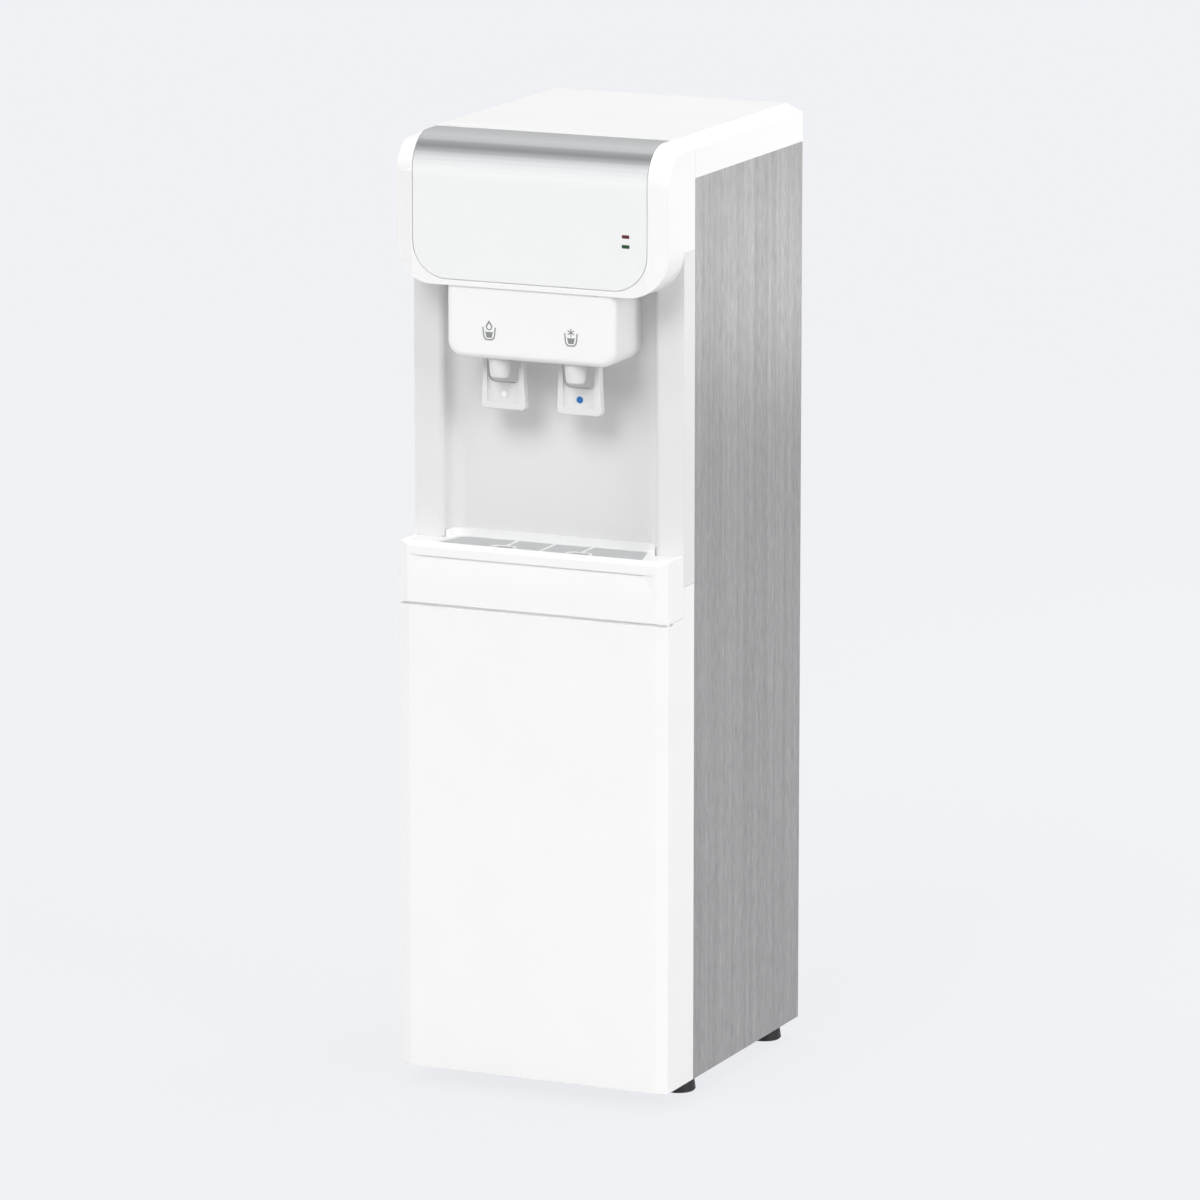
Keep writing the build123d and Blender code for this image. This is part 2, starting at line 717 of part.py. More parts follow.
for side, word in ((-1, "left"), (1, "right")):
    tap_x = side * tap_spread / 2
    with BuildPart() as lever:
        with BuildSketch(Plane.XZ.offset(-lever_rear_y)):
            Polygon(
                (tap_x - lever_half_bottom, lever_bottom_z),
                (tap_x + lever_half_bottom, lever_bottom_z),
                (tap_x + lever_half_top, arm_top_z),
                (tap_x - lever_half_top, arm_top_z),
                align=None,
            )
        extrude(amount=lever_depth)
        fillet(lever.edges().filter_by(Axis.Y).group_by(Axis.Z)[0], lever_corner)
        front_rim = lever.faces().sort_by(Axis.Y)[0].edges()
        fillet(front_rim.sort_by(Axis.Z)[:-1], 1.2)
        with BuildSketch(Plane.XZ.offset(-lever_rear_y - 1)):
            with Locations((tap_x, cutout_z + 50)):
                RectangleRounded(2 * cutout_half, 100, cutout_corner)
        extrude(amount=2 * lever_depth, both=True, mode=Mode.SUBTRACT)
        block(
            (tap_x - cutout_half, lever_front_y - 1, lever_bottom_z + lip_height),
            (tap_x + cutout_half, panel_face_y, cutout_z + cutout_corner),
            mode=Mode.SUBTRACT,
        )
        block(
            (tap_x - cutout_half, panel_face_y + panel_thickness, lever_bottom_z + panel_thickness),
            (tap_x + cutout_half, lever_rear_y + 1, cutout_z - panel_thickness),
            mode=Mode.SUBTRACT,
        )
        for arm in (-1, 1):
            arm_x = sorted((tap_x + arm * lever_half_top, tap_x + arm * (lever_half_top - arm_width)))
            with BuildSketch(Plane.YZ.offset(arm_x[0])):
                Polygon(
                    (pivot_y - 3.6, pivot_z - 1),
                    (pivot_y, pivot_z + 3.9),
                    (lever_rear_y, arm_top_z + 6),
                    (lever_rear_y, arm_top_z - 6),
                    (lever_front_y, arm_top_z - 6),
                    (lever_front_y, arm_top_z),
                    align=None,
                )
            extrude(amount=arm_width)
            fork_x = sorted((tap_x + arm * fork_inner, tap_x + arm * fork_outer))
            block(
                (fork_x[0], pivot_y, pivot_z - fork_half),
                (fork_x[1], pivot_y + fork_reach, pivot_z + fork_half),
            )
        rod((tap_x - lever_hub_half, pivot_y, pivot_z), (tap_x + lever_hub_half, pivot_y, pivot_z), 4)
        rod(
            (tap_x - lever_hub_half - 1, pivot_y, pivot_z),
            (tap_x + lever_hub_half + 1, pivot_y, pivot_z),
            pin_radius + shaft_gap,
            mode=Mode.SUBTRACT,
        )
        if side < 0:
            rod((tap_x, panel_face_y + 0.5, dot_z), (tap_x, panel_face_y - dot_height, dot_z), dot_radius)
    keep(lever, f"lever_{word}")

with BuildPart() as cold_badge:
    badge_x = tap_spread / 2
    rod((badge_x, panel_face_y, dot_z), (badge_x, panel_face_y - dot_height, dot_z), dot_radius)
    fillet(cold_badge.edges().sort_by(Axis.Y)[0], 0.3)
keep(cold_badge, "cold_badge")

# Drip tray: a full-width front block with a bowl, and a rear part that fills the foot of the alcove
tray_bevel_x = 11
tray_bevel_y = 4
tray_rear_y = stile_y - body_gap
tray_upstand = 5
tray_lip_drop = 2.4
tray_side_lip = 3
tray_front_lip = 5.5
tray_nose_radius = 6
scoop_depth = 2.4
scoop_top_z = tray_top_z - 14
scoop_height = 30
scoop_half = half_width - 14
scoop_fade = 15
bowl_half = half_width - 38
bowl_wall = 3
grille_front_half = half_width - 32
grille_rear_half = half_width - 47
grille_corner = 12
grille_front_y = tray_y + 8
grille_rear_y = alcove_y - 3.4
grille_thickness = 3
grille_gap = 0.4
platform_z = tray_top_z - tray_lip_drop
grille_top_z = platform_z - 1.6
grille_low_z = grille_top_z - grille_thickness
bowl_top_z = grille_low_z - body_gap
tray_inner_gap = 0.5


def grille_plan(gap):
    """The grille's outline, wider at the front and rounded at the rear corners."""
    with BuildSketch(Plane.XY) as plan:
        Polygon(
            (-grille_front_half + gap, grille_front_y + gap),
            (grille_front_half - gap, grille_front_y + gap),
            (grille_rear_half - gap, grille_rear_y - gap),
            (-grille_rear_half + gap, grille_rear_y - gap),
            align=None,
        )
        fillet(plan.vertices().group_by(Axis.Y)[-1], grille_corner - gap)
        fillet(plan.vertices().group_by(Axis.Y)[0], 3)
    return plan.sketch


with BuildPart() as tray_scoop:
    with BuildSketch(Plane.YZ):
        with BuildLine():
            Polyline(
                (tray_y, scoop_top_z - scoop_height),
                (tray_y - 1, scoop_top_z - scoop_height),
                (tray_y - 1, scoop_top_z),
                (tray_y + scoop_depth, scoop_top_z),
            )
            TangentArc((tray_y, scoop_top_z - scoop_height), (tray_y + scoop_depth, scoop_top_z), tangent=(0, 1))
        make_face()
    extrude(amount=scoop_half, both=True)
    with BuildSketch(Plane.XY.offset(tray_z)):
        Polygon(
            (-scoop_half, tray_y),
            (-scoop_half, tray_y - 2),
            (scoop_half, tray_y - 2),
            (scoop_half, tray_y),
            (scoop_half - scoop_fade, tray_y + scoop_depth),
            (-scoop_half + scoop_fade, tray_y + scoop_depth),
            align=None,
        )
    extrude(amount=tray_height, mode=Mode.INTERSECT)

with BuildPart() as drip_tray:
    block((-half_width, tray_y, tray_z), (half_width, tray_rear_y, tray_top_z))
    chamfer(
        drip_tray.edges().filter_by(Axis.Z).group_by(Axis.Y)[0],
        length=tray_bevel_x,
        length2=tray_bevel_y,
        reference=drip_tray.faces().sort_by(Axis.Y)[0],
    )
    front_face = drip_tray.faces().sort_by(Axis.Y)[0]
    fillet(front_face.edges().sort_by(Axis.Z)[-1], tray_nose_radius)
    fillet(drip_tray.faces().sort_by(Axis.Y)[0].edges().sort_by(Axis.Z)[0], 1.5)
    rear_plan = alcove_plan(-tray_inner_gap, stile_y - 2)
    rear_up = extrude(
        rear_plan.moved(Location((0, 0, alcove_floor_z + body_gap))),
        amount=tray_top_z + tray_upstand - alcove_floor_z - body_gap,
        mode=Mode.PRIVATE,
    )
    add(rear_up)
    block(
        (-half_width, tray_rear_y - 2.1, tray_top_z),
        (half_width, tray_rear_y + 3, tray_top_z + 2 * tray_upstand),
        mode=Mode.SUBTRACT,
    )
    inner_half = mouth_half - mouth_lip - tray_inner_gap
    for side in (-1, 1):
        flare_x = sorted((side * inner_half, side * half_width))
        block(
            (flare_x[0], tray_rear_y, seam_z), (flare_x[1], alcove_y, far_z), mode=Mode.SUBTRACT
        )
    block(
        (-half_width + tray_side_lip, tray_y + tray_front_lip, platform_z),
        (half_width - tray_side_lip, tray_rear_y, far_z),
        mode=Mode.SUBTRACT,
    )
    upstand_hollow = alcove_plan(-tray_inner_gap - plastic_wall, stile_y - 2)
    add(
        extrude(upstand_hollow.moved(Location((0, 0, platform_z))), amount=50, mode=Mode.PRIVATE),
        mode=Mode.SUBTRACT,
    )
    grille_seat = grille_plan(0)
    add(
        extrude(grille_seat.moved(Location((0, 0, bowl_top_z))), amount=50, mode=Mode.PRIVATE),
        mode=Mode.SUBTRACT,
    )
    block(
        (-bowl_half, tray_y + 10, tray_z + bowl_wall),
        (bowl_half, tray_rear_y - plastic_wall, bowl_top_z + 1),
        mode=Mode.SUBTRACT,
    )
    block(
        (-bowl_half + 15, tray_y + 10, alcove_floor_z + bowl_wall),
        (bowl_half - 15, grille_rear_y - 3, bowl_top_z + 1),
        mode=Mode.SUBTRACT,
    )
    for side in (-1, 1):
        wing_x = sorted((side * (bowl_half + 2 * plastic_wall), side * (half_width - plastic_wall)))
        block(
            (wing_x[0], tray_y + tray_front_lip + 1, tray_z - 1),
            (wing_x[1], tray_rear_y - plastic_wall, platform_z - plastic_wall),
            mode=Mode.SUBTRACT,
        )
    add(tray_scoop.part, mode=Mode.SUBTRACT)
keep(drip_tray, "drip_tray")

# Drip grille: a flat perforated plate in three bays, with a window under each nozzle
rib_width = 2
rib_height = 0.8
window_x = 24
window_y = 18
window_mid_y = grille_front_y + grille_gap + 1 + rib_width + window_y / 2
slot_length = 9
slot_width = 1.8
slot_pitch_x = 3.9
slot_pitch_y = 11
slot_columns = 2 * int((grille_rear_half - 8) // slot_pitch_x) + 1
grille_mid_y = (grille_front_y + grille_rear_y) / 2

with BuildPart() as drip_grille:
    plate = grille_plan(grille_gap)
    add(extrude(plate.moved(Location((0, 0, grille_low_z))), amount=grille_thickness, mode=Mode.PRIVATE))
    with BuildSketch(Plane.XY.offset(grille_low_z - 1)):
        with Locations((0, grille_mid_y)):
            with GridLocations(slot_pitch_x, slot_pitch_y, slot_columns, 4):
                Rectangle(slot_width, slot_length)
        for side in (-1, 1):
            with Locations((side * tap_spread / 2, grille_mid_y)):
                Rectangle(window_x + 6, 60, mode=Mode.SUBTRACT)
        with Locations((0, grille_mid_y)):
            Rectangle(rib_width + 2, 60, mode=Mode.SUBTRACT)
    extrude(amount=2 * grille_thickness, mode=Mode.SUBTRACT)
    block(
        (-rib_width / 2, grille_front_y + 2, grille_top_z - 1),
        (rib_width / 2, grille_rear_y - 2, grille_top_z + rib_height),
    )
    for side in (-1, 1):
        window_mid_x = side * tap_spread / 2
        block(
            (window_mid_x - rib_width / 2, window_mid_y, grille_top_z - 1),
            (window_mid_x + rib_width / 2, grille_rear_y - 2, grille_top_z + rib_height),
        )
        rim_x = window_x / 2 + rib_width
        rim_y = window_y / 2 + rib_width
        block(
            (window_mid_x - rim_x, window_mid_y - rim_y, grille_low_z),
            (window_mid_x + rim_x, window_mid_y + rim_y, grille_top_z + rib_height),
        )
        block(
            (window_mid_x - window_x / 2, window_mid_y - window_y / 2, grille_low_z - 1),
            (window_mid_x + window_x / 2, window_mid_y + window_y / 2, grille_top_z + 2 * rib_height),
            mode=Mode.SUBTRACT,
        )
keep(drip_grille, "drip_grille")

# Lower cover: the tall front door, with side returns and hooks that clip behind the side panels
door_bevel_x = 12
door_bevel_y = 3.5
door_ledge = 2.4
hook_heights = (base_z + 60, (base_z + door_top_z) / 2 - 14, door_top_z - 68)
hook_height = 16
hook_half = rear_flange_half - 0.5

with BuildPart() as lower_cover:
    block((-half_width, door_y, base_z), (half_width, cover_rear_y, door_top_z))
    chamfer(
        lower_cover.edges().filter_by(Axis.Z).group_by(Axis.Y)[0],
        length=door_bevel_x,
        length2=door_bevel_y,
        reference=lower_cover.faces().sort_by(Axis.Y)[0],
    )
    fillet(lower_cover.faces().sort_by(Axis.Y)[0].edges().sort_by(Axis.Z)[-1], 2)
    block((-half_width, stile_y, door_top_z - 1), (half_width, cover_rear_y, seam_z - seam_gap))
    block(
        (-half_width, door_y - 1, door_top_z - door_ledge),
        (half_width, door_y + 14, door_top_z + 1),
        mode=Mode.SUBTRACT,
    )
    inner_half = half_width - plastic_wall
    door_hollow_top_z = door_top_z - door_ledge - plastic_wall
    block(
        (-inner_half, door_y + plastic_wall + door_bevel_y, base_z + plastic_wall),
        (inner_half, panel_y, door_hollow_top_z),
        mode=Mode.SUBTRACT,
    )
    block(
        (-inner_half + door_bevel_x, door_y + plastic_wall, base_z + plastic_wall),
        (inner_half - door_bevel_x, panel_y, door_hollow_top_z),
        mode=Mode.SUBTRACT,
    )
    block(
        (-inner_half, stile_y + plastic_wall, door_top_z - 10),
        (inner_half, panel_y, seam_z - seam_gap - plastic_wall),
        mode=Mode.SUBTRACT,
    )
    for side in (-1, 1):
        for height in hook_heights:
            stalk_x = sorted((side * (hook_half - 6), side * hook_half))
            reach_x = sorted((side * (hook_half - 6), side * (hook_half + 6)))
            arm_x = sorted((side * (hook_half - 6), side * (inner_half + 0.5)))
            block((arm_x[0], cover_rear_y - 4, height), (arm_x[1], cover_rear_y, height + hook_height))
            block(
                (stalk_x[0], cover_rear_y - 2, height),
                (stalk_x[1], panel_y + sheet_wall + 3, height + hook_height),
            )
            block(
                (reach_x[0], panel_y + sheet_wall + body_gap, height),
                (reach_x[1], panel_y + sheet_wall + 3, height + hook_height),
            )
keep(lower_cover, "lower_cover")

# Levelling feet
foot_base_radius = 18
foot_top_radius = 15.5
corners = (
    ("front_left", -1, -1),
    ("front_right", 1, -1),
    ("rear_left", -1, 1),
    ("rear_right", 1, 1),
)
for word, side, end in corners:
    foot_x = side * foot_spread_x / 2
    foot_y = foot_mid_y + end * foot_spread_y / 2
    with BuildPart() as foot:
        with Locations((foot_x, foot_y, 0)):
            Cone(
                foot_base_radius,
                foot_top_radius,
                foot_height - body_gap,
                align=(Align.CENTER, Align.CENTER, Align.MIN),
            )
        chamfer(foot.edges().sort_by(Axis.Z)[0], 1.5)
        fillet(foot.edges().sort_by(Axis.Z)[-1], 1)
        rod((foot_x, foot_y, foot_height - 2), (foot_x, foot_y, foot_height + foot_stud_length), foot_stud_radius)
    keep(foot, f"foot_{word}")

# Tank shelf across the cabinet
shelf_lip = 14
foam_half = half_width - 40
foam_front_y = alcove_y + 38
foam_rear_y = rear_panel_y - 3
tank_y = (foam_front_y + foam_rear_y) / 2
suction_riser_x = half_width - 25
suction_riser_y = tank_y + 9
bay_outlet_y = rear_panel_y - 32
drier_end_y = bay_outlet_y - 78
capillary_riser_x = half_width - 15
capillary_riser_y = drier_end_y - 22
supply_x = half_width - 10
filter_y = panel_y + 43.5

with BuildPart() as tank_shelf:
    block((-pan_half, foam_front_y, shelf_z - shelf_lip), (pan_half, rear_panel_y - 2, foam_z))
    block(
        (-pan_half + shelf_wall, foam_front_y + shelf_wall, shelf_z - 2 * shelf_lip),
        (pan_half - shelf_wall, rear_panel_y - 2 - shelf_wall, shelf_z),
        mode=Mode.SUBTRACT,
    )
    block(
        (suction_riser_x - 8, capillary_riser_y - 8, shelf_z - 1),
        (capillary_riser_x + 8, suction_riser_y + 8, foam_z + 1),
        mode=Mode.SUBTRACT,
    )
    block(
        (supply_x - 8, filter_y - 10, shelf_z - 1),
        (supply_x + 6, filter_y + 10, foam_z + 1),
        mode=Mode.SUBTRACT,
    )
keep(tank_shelf, "tank_shelf")

# Cold tank: stainless steel, with an outlet to the right tap and a drain to the rear
tank_radius = 80
tank_wall = 1
tank_height = 130
tank_top_z = tank_z + tank_height
tank_outlet_y = foam_front_y + 23
tank_outlet_bore = 4.2
drain_bore = 3.6
drain_end_y = rear_panel_y + 14
spout_radius = 7.5
cavity_radius = 89

with BuildPart() as tank_inside:
    with Locations((0, tank_y, tank_z + tank_wall)):
        Cylinder(
            tank_radius - tank_wall,
            tank_height - 2 * tank_wall,
            align=(Align.CENTER, Align.CENTER, Align.MIN),
        )
    fillet(tank_inside.edges(), 7)
    rod((tap_spread / 2, tank_y, tap_z), (tap_spread / 2, tank_outlet_y - 1, tap_z), tank_outlet_bore)
    rod((0, tank_y, drain_z), (0, drain_end_y + 1, drain_z), drain_bore)
    rod((0, tank_y, tank_top_z - 10), (0, tank_y, tank_top_z + 5), spout_radius + shaft_gap)

with BuildPart() as cold_tank:
    with Locations((0, tank_y, tank_z)):
        Cylinder(tank_radius, tank_height, align=(Align.CENTER, Align.CENTER, Align.MIN))
    fillet(cold_tank.edges(), 8)
    rod((tap_spread / 2, tank_y, tap_z), (tap_spread / 2, tank_outlet_y, tap_z), spigot_radius)
    rod((0, tank_y, drain_z), (0, drain_end_y, drain_z), drain_radius)
    add(tank_inside.part, mode=Mode.SUBTRACT)
keep(cold_tank, "cold_tank")

# Tank insulation: a foam block with the tank's cavity, and its lid
foam_split_z = tank_top_z + 2
foam_top_z = foam_split_z + 10
hose_radius = 7.5
hose_bore = 6.05
line_z = (tank_z + 108, tank_z + 52)
line_y = (tank_y - 10, suction_riser_y)
capillary_radius = 1.1
suction_radius = 3.2

with BuildPart() as tank_insulation:
    block((-foam_half, foam_front_y, foam_z), (foam_half, foam_rear_y, foam_split_z))
    rod((0, tank_y, tank_z), (0, tank_y, foam_split_z + 1), cavity_radius, mode=Mode.SUBTRACT)
    rod(
        (tap_spread / 2, foam_front_y - 1, tap_z),
        (tap_spread / 2, tank_y, tap_z),
        hose_radius + body_gap,
        mode=Mode.SUBTRACT,
    )
    rod((0, tank_y, drain_z), (0, foam_rear_y + 1, drain_z), drain_radius + body_gap, mode=Mode.SUBTRACT)
    for height, depth, radius in zip(line_z, line_y, (capillary_radius, suction_radius)):
        rod((0, depth, height), (foam_half + 1, depth, height), radius + body_gap, mode=Mode.SUBTRACT)
    block((-foam_half, foam_front_y, foam_split_z), (foam_half, foam_rear_y, foam_top_z))
    rod(
        (0, tank_y, foam_split_z - 1),
        (0, tank_y, foam_top_z + 1),
        spout_radius + body_gap,
        mode=Mode.SUBTRACT,
    )
keep(tank_insulation, "tank_insulation")

# Evaporator coil wound on the tank
evaporator_tube = 4
evaporator_turns = 5
evaporator_pitch = 14
evaporator_radius = tank_radius + evaporator_tube + 0.15
evaporator_z = tap_z + 12

with BuildPart() as evaporator_coil:
    start = (0, tank_y, evaporator_z)
    add(wound_tube(start, evaporator_radius, evaporator_pitch, evaporator_turns, evaporator_tube))
keep(evaporator_coil, "evaporator_coil")

# Reservoir for ambient water over the tank, with its lid, float valve and float
reservoir_half = foam_half - 15
reservoir_front_y = foam_front_y + 8
reservoir_rear_y = rear_panel_y - 20
reservoir_height = 56
reservoir_top_z = foam_top_z + reservoir_height
reservoir_outlet_z = foam_top_z + 12
float_valve_z = reservoir_top_z - 13
float_pivot_y = reservoir_rear_y - 17
float_pivot_z = float_valve_z - 8
float_arm_length = 60
float_radius = 14
float_drop = 12
float_barb_y = reservoir_rear_y + 10
barb_radius = 2.2
barb_length = 14

with BuildPart() as reservoir:
    block((-reservoir_half, reservoir_front_y, foam_top_z), (reservoir_half, reservoir_rear_y, reservoir_top_z))
    fillet(reservoir.edges().filter_by(Axis.Z), 15)
    top_face = reservoir.faces().sort_by(Axis.Z)[-1]
    offset(amount=-plastic_wall, openings=top_face)
    rod((0, tank_y, foam_top_z + 1), (0, tank_y, tank_top_z - 8), spout_radius)
    rod((0, tank_y, foam_top_z + 5), (0, tank_y, tank_top_z - 9), spout_radius - 2, mode=Mode.SUBTRACT)
    outlet_x = -tap_spread / 2
    rod(
        (outlet_x, reservoir_front_y + 1, reservoir_outlet_z),
        (outlet_x, reservoir_front_y - 6.5, reservoir_outlet_z),
        spigot_radius,
    )
    rod(
        (outlet_x, reservoir_front_y + 5, reservoir_outlet_z),
        (outlet_x, reservoir_front_y - 8, reservoir_outlet_z),
        tank_outlet_bore,
        mode=Mode.SUBTRACT,
    )
    rod(
        (0, reservoir_rear_y - 5, float_valve_z),
        (0, reservoir_rear_y + 5, float_valve_z),
        spigot_radius + shaft_gap,
        mode=Mode.SUBTRACT,
    )
keep(reservoir, "reservoir")

with BuildPart() as reservoir_lid:
    block(
        (-reservoir_half - 1, reservoir_front_y - 1, reservoir_top_z),
        (reservoir_half + 1, reservoir_rear_y + 1, reservoir_top_z + 3),
    )
    fillet(reservoir_lid.edges().filter_by(Axis.Z), 16)
    rim_half = reservoir_half - plastic_wall - 0.3
    with BuildSketch(Plane.XY.offset(reservoir_top_z)):
        with Locations((0, (reservoir_front_y + reservoir_rear_y) / 2)):
            RectangleRounded(2 * rim_half, reservoir_rear_y - reservoir_front_y - 2 * plastic_wall - 0.6, 12.2)
            RectangleRounded(
                2 * rim_half - 4, reservoir_rear_y - reservoir_front_y - 2 * plastic_wall - 4.6, 10.2, mode=Mode.SUBTRACT
            )
    extrude(amount=-3)
keep(reservoir_lid, "reservoir_lid")

with BuildPart() as float_valve:
    rod((0, float_pivot_y + 5, float_valve_z), (0, float_barb_y + 4, float_valve_z), spigot_radius)
    rod((0, reservoir_rear_y, float_valve_z), (0, reservoir_rear_y + 3, float_valve_z), 9)
    rod((0, float_barb_y, float_valve_z), (barb_length, float_barb_y, float_valve_z), barb_radius)
    for side in (-1, 1):
        cheek_x = sorted((side * 3, side * 5.5))
        block(
            (cheek_x[0], float_pivot_y - 4, float_pivot_z - 4),
            (cheek_x[1], float_pivot_y + 9, float_valve_z),
        )
    rod((-8, float_pivot_y, float_pivot_z), (8, float_pivot_y, float_pivot_z), pin_radius + shaft_gap, mode=Mode.SUBTRACT)
keep(float_valve, "float_valve")

float_lean = radians(float_drop)
float_y = float_pivot_y - float_arm_length * cos(float_lean)
float_z = float_pivot_z - float_arm_length * sin(float_lean)

with BuildPart() as float_arm:
    rod((-5.4, float_pivot_y, float_pivot_z), (5.4, float_pivot_y, float_pivot_z), pin_radius)
    rod((-2.6, float_pivot_y, float_pivot_z), (2.6, float_pivot_y, float_pivot_z), 3.2)
    rod((0, float_pivot_y, float_pivot_z), (0, float_y, float_z), 1.6)
    with Locations((0, float_y, float_z)):
        Sphere(float_radius)
keep(float_arm, "float_arm")

# Silicone hoses to the taps: straight to the cold tap, bent up to the reservoir for the ambient tap
hose_start_y = alcove_y + plastic_wall + body_gap
hose_turn_y = foam_front_y - 13
hose_bend = 14

with BuildPart() as cold_outlet_tube:
    add(
        round_tube(
            [(tap_spread / 2, hose_start_y, tap_z), (tap_spread / 2, tank_outlet_y + 8.5, tap_z)],
            hose_bend,
            hose_radius,
            hose_bore,
        )
    )
keep(cold_outlet_tube, "cold_outlet_tube")

with BuildPart() as ambient_outlet_tube:
    add(
        round_tube(
            [
                (-tap_spread / 2, hose_start_y, tap_z),
                (-tap_spread / 2, hose_turn_y, tap_z),
                (-tap_spread / 2, hose_turn_y, reservoir_outlet_z),
                (-tap_spread / 2, reservoir_front_y - body_gap, reservoir_outlet_z),
            ],
            hose_bend,
            hose_radius,
            hose_bore,
        )
    )
keep(ambient_outlet_tube, "ambient_outlet_tube")

# Thermostat and its knob on the rear panel
thermostat_half = 10.5
knob_radius = 11
knob_y = rear_panel_y + sheet_wall + 1.5
knob_length = 11

with BuildPart() as thermostat:
    block(
        (service_x - thermostat_half, rear_panel_y - 32, thermostat_z - thermostat_half),
        (service_x + thermostat_half, rear_panel_y, thermostat_z + thermostat_half),
    )
    fillet(thermostat.edges().filter_by(Axis.Y), 2)
    rod(
        (service_x, rear_panel_y - 11, thermostat_z),
        (service_x, rear_panel_y + 1, thermostat_z),
        knob_shaft_radius + shaft_gap,
        mode=Mode.SUBTRACT,
    )
keep(thermostat, "thermostat")

with BuildPart() as thermostat_knob:
    rod((service_x, knob_y, thermostat_z), (service_x, knob_y + 5, thermostat_z), knob_radius)
    fillet(thermostat_knob.edges().sort_by(Axis.Y)[-1], 1)
    block(
        (service_x - 3, knob_y + 2, thermostat_z - knob_radius + 1.5),
        (service_x + 3, knob_y + knob_length, thermostat_z + knob_radius - 1.5),
    )
    rod((service_x, rear_panel_y - 10.5, thermostat_z), (service_x, knob_y + 1, thermostat_z), knob_shaft_radius)
keep(thermostat_knob, "thermostat_knob")

# Power inlet with its switch, in one moulding
socket_z = power_z - 12
switch_z = power_z + 16
rocker_half_x = 6.5
rocker_half_z = 9
rocker_tilt = 8
rocker_face = 2.6
rocker_pin = 1.2
socket_half_x = 11.5
socket_half_z = 8.5
socket_depth = 16
blade_setback = 6
module_face_y = rear_panel_y + sheet_wall + 2
rocker_y = module_face_y - 3

with BuildPart() as power_inlet:
    block(
        (power_x - module_half_x, rear_panel_y - 24, power_z - module_half_z),
        (power_x + module_half_x, rear_panel_y + sheet_wall, power_z + module_half_z),
    )
    block(
        (power_x - module_half_x - 2, rear_panel_y + sheet_wall, power_z - module_half_z - 2),
        (power_x + module_half_x + 2, module_face_y, power_z + module_half_z + 2),
    )
    block(
        (power_x - socket_half_x, module_face_y - socket_depth, socket_z - socket_half_z),
        (power_x + socket_half_x, module_face_y + 1, socket_z + socket_half_z),
        mode=Mode.SUBTRACT,
    )
    for blade_x, blade_z in ((-7, -2), (0, 2), (7, -2)):
        block(
            (power_x + blade_x - 1, module_face_y - socket_depth - 1, socket_z + blade_z - 2),
            (power_x + blade_x + 1, module_face_y - blade_setback, socket_z + blade_z + 2),
        )
    rocker_room_x = rocker_half_x + 0.4
    rocker_room_z = rocker_half_z + 0.6
    block(
        (power_x - rocker_room_x, module_face_y - 14, switch_z - rocker_room_z),
        (power_x + rocker_room_x, module_face_y + 1, switch_z + rocker_room_z),
        mode=Mode.SUBTRACT,
    )
    rod(
        (power_x - rocker_room_x - 2, rocker_y, switch_z),
        (power_x + rocker_room_x + 2, rocker_y, switch_z),
        rocker_pin + shaft_gap,
        mode=Mode.SUBTRACT,
    )
keep(power_inlet, "power_inlet")

with BuildPart() as power_rocker:
    tilt = Plane(Location((power_x, rocker_y, switch_z), (-rocker_tilt, 0, 0)))
    side_view = Plane(origin=tilt.from_local_coords((-rocker_half_x, 0, 0)), x_dir=tilt.y_dir, z_dir=tilt.x_dir)
    with BuildSketch(side_view):
        with BuildLine():
            Polyline(
                (rocker_face, rocker_half_z - 0.4),
                (-3, rocker_half_z - 2),
                (-6, 3),
                (-6, -3),
                (-3, -rocker_half_z + 2),
                (rocker_face, -rocker_half_z + 0.4),
            )
            ThreePointArc(
                (rocker_face, -rocker_half_z + 0.4), (rocker_face - 1, 0), (rocker_face, rocker_half_z - 0.4)
            )
        make_face()
    extrude(amount=2 * rocker_half_x)
    fillet(power_rocker.edges().filter_by(Axis.X).group_by(Axis.Y)[-1], 0.5)
    rod(
        (power_x - rocker_half_x - 1.5, rocker_y, switch_z),
        (power_x + rocker_half_x + 1.5, rocker_y, switch_z),
        rocker_pin,
    )
keep(power_rocker, "power_rocker")

# Compressor on rubber grommets, with its relay box
shell_radius = 60
shell_z = pan_floor_z + shell_lift
plate_wall = 3
plate_z = pan_floor_z + 18
stub_reach = 48
stub_height = 14
discharge_x = compressor_x + 45
discharge_y = compressor_y + 17
suction_x = compressor_x
suction_y = compressor_y - stub_reach

with BuildPart() as compressor:
    with Locations((compressor_x, compressor_y, shell_z)):
        Cylinder(shell_radius, shell_height, align=(Align.CENTER, Align.CENTER, Align.MIN))
    fillet(compressor.edges().group_by(Axis.Z)[-1], 28)
    fillet(compressor.edges().group_by(Axis.Z)[0], 18)
    with Locations((compressor_x, compressor_y, shell_z + shell_height * 0.52)):
        Cylinder(shell_radius + 1.6, 5)
    block(
        (compressor_x - mount_spread_x / 2 - 12, compressor_y - mount_spread_y / 2 - 12, plate_z),
        (compressor_x + mount_spread_x / 2 + 12, compressor_y + mount_spread_y / 2 + 12, plate_z + plate_wall),
    )
    rod((compressor_x, compressor_y, plate_z), (compressor_x, compressor_y, shell_z + 5), 40)
    with Locations((compressor_x, compressor_y, plate_z)):
        with GridLocations(mount_spread_x, mount_spread_y, 2, 2):
            Cylinder(mount_stud_radius + 0.2, 20, mode=Mode.SUBTRACT)
    for stub_x, stub_y in ((discharge_x, discharge_y), (suction_x, suction_y)):
        rod((stub_x, stub_y, line_start_z - 30), (stub_x, stub_y, line_start_z), 4.5)
keep(compressor, "compressor")

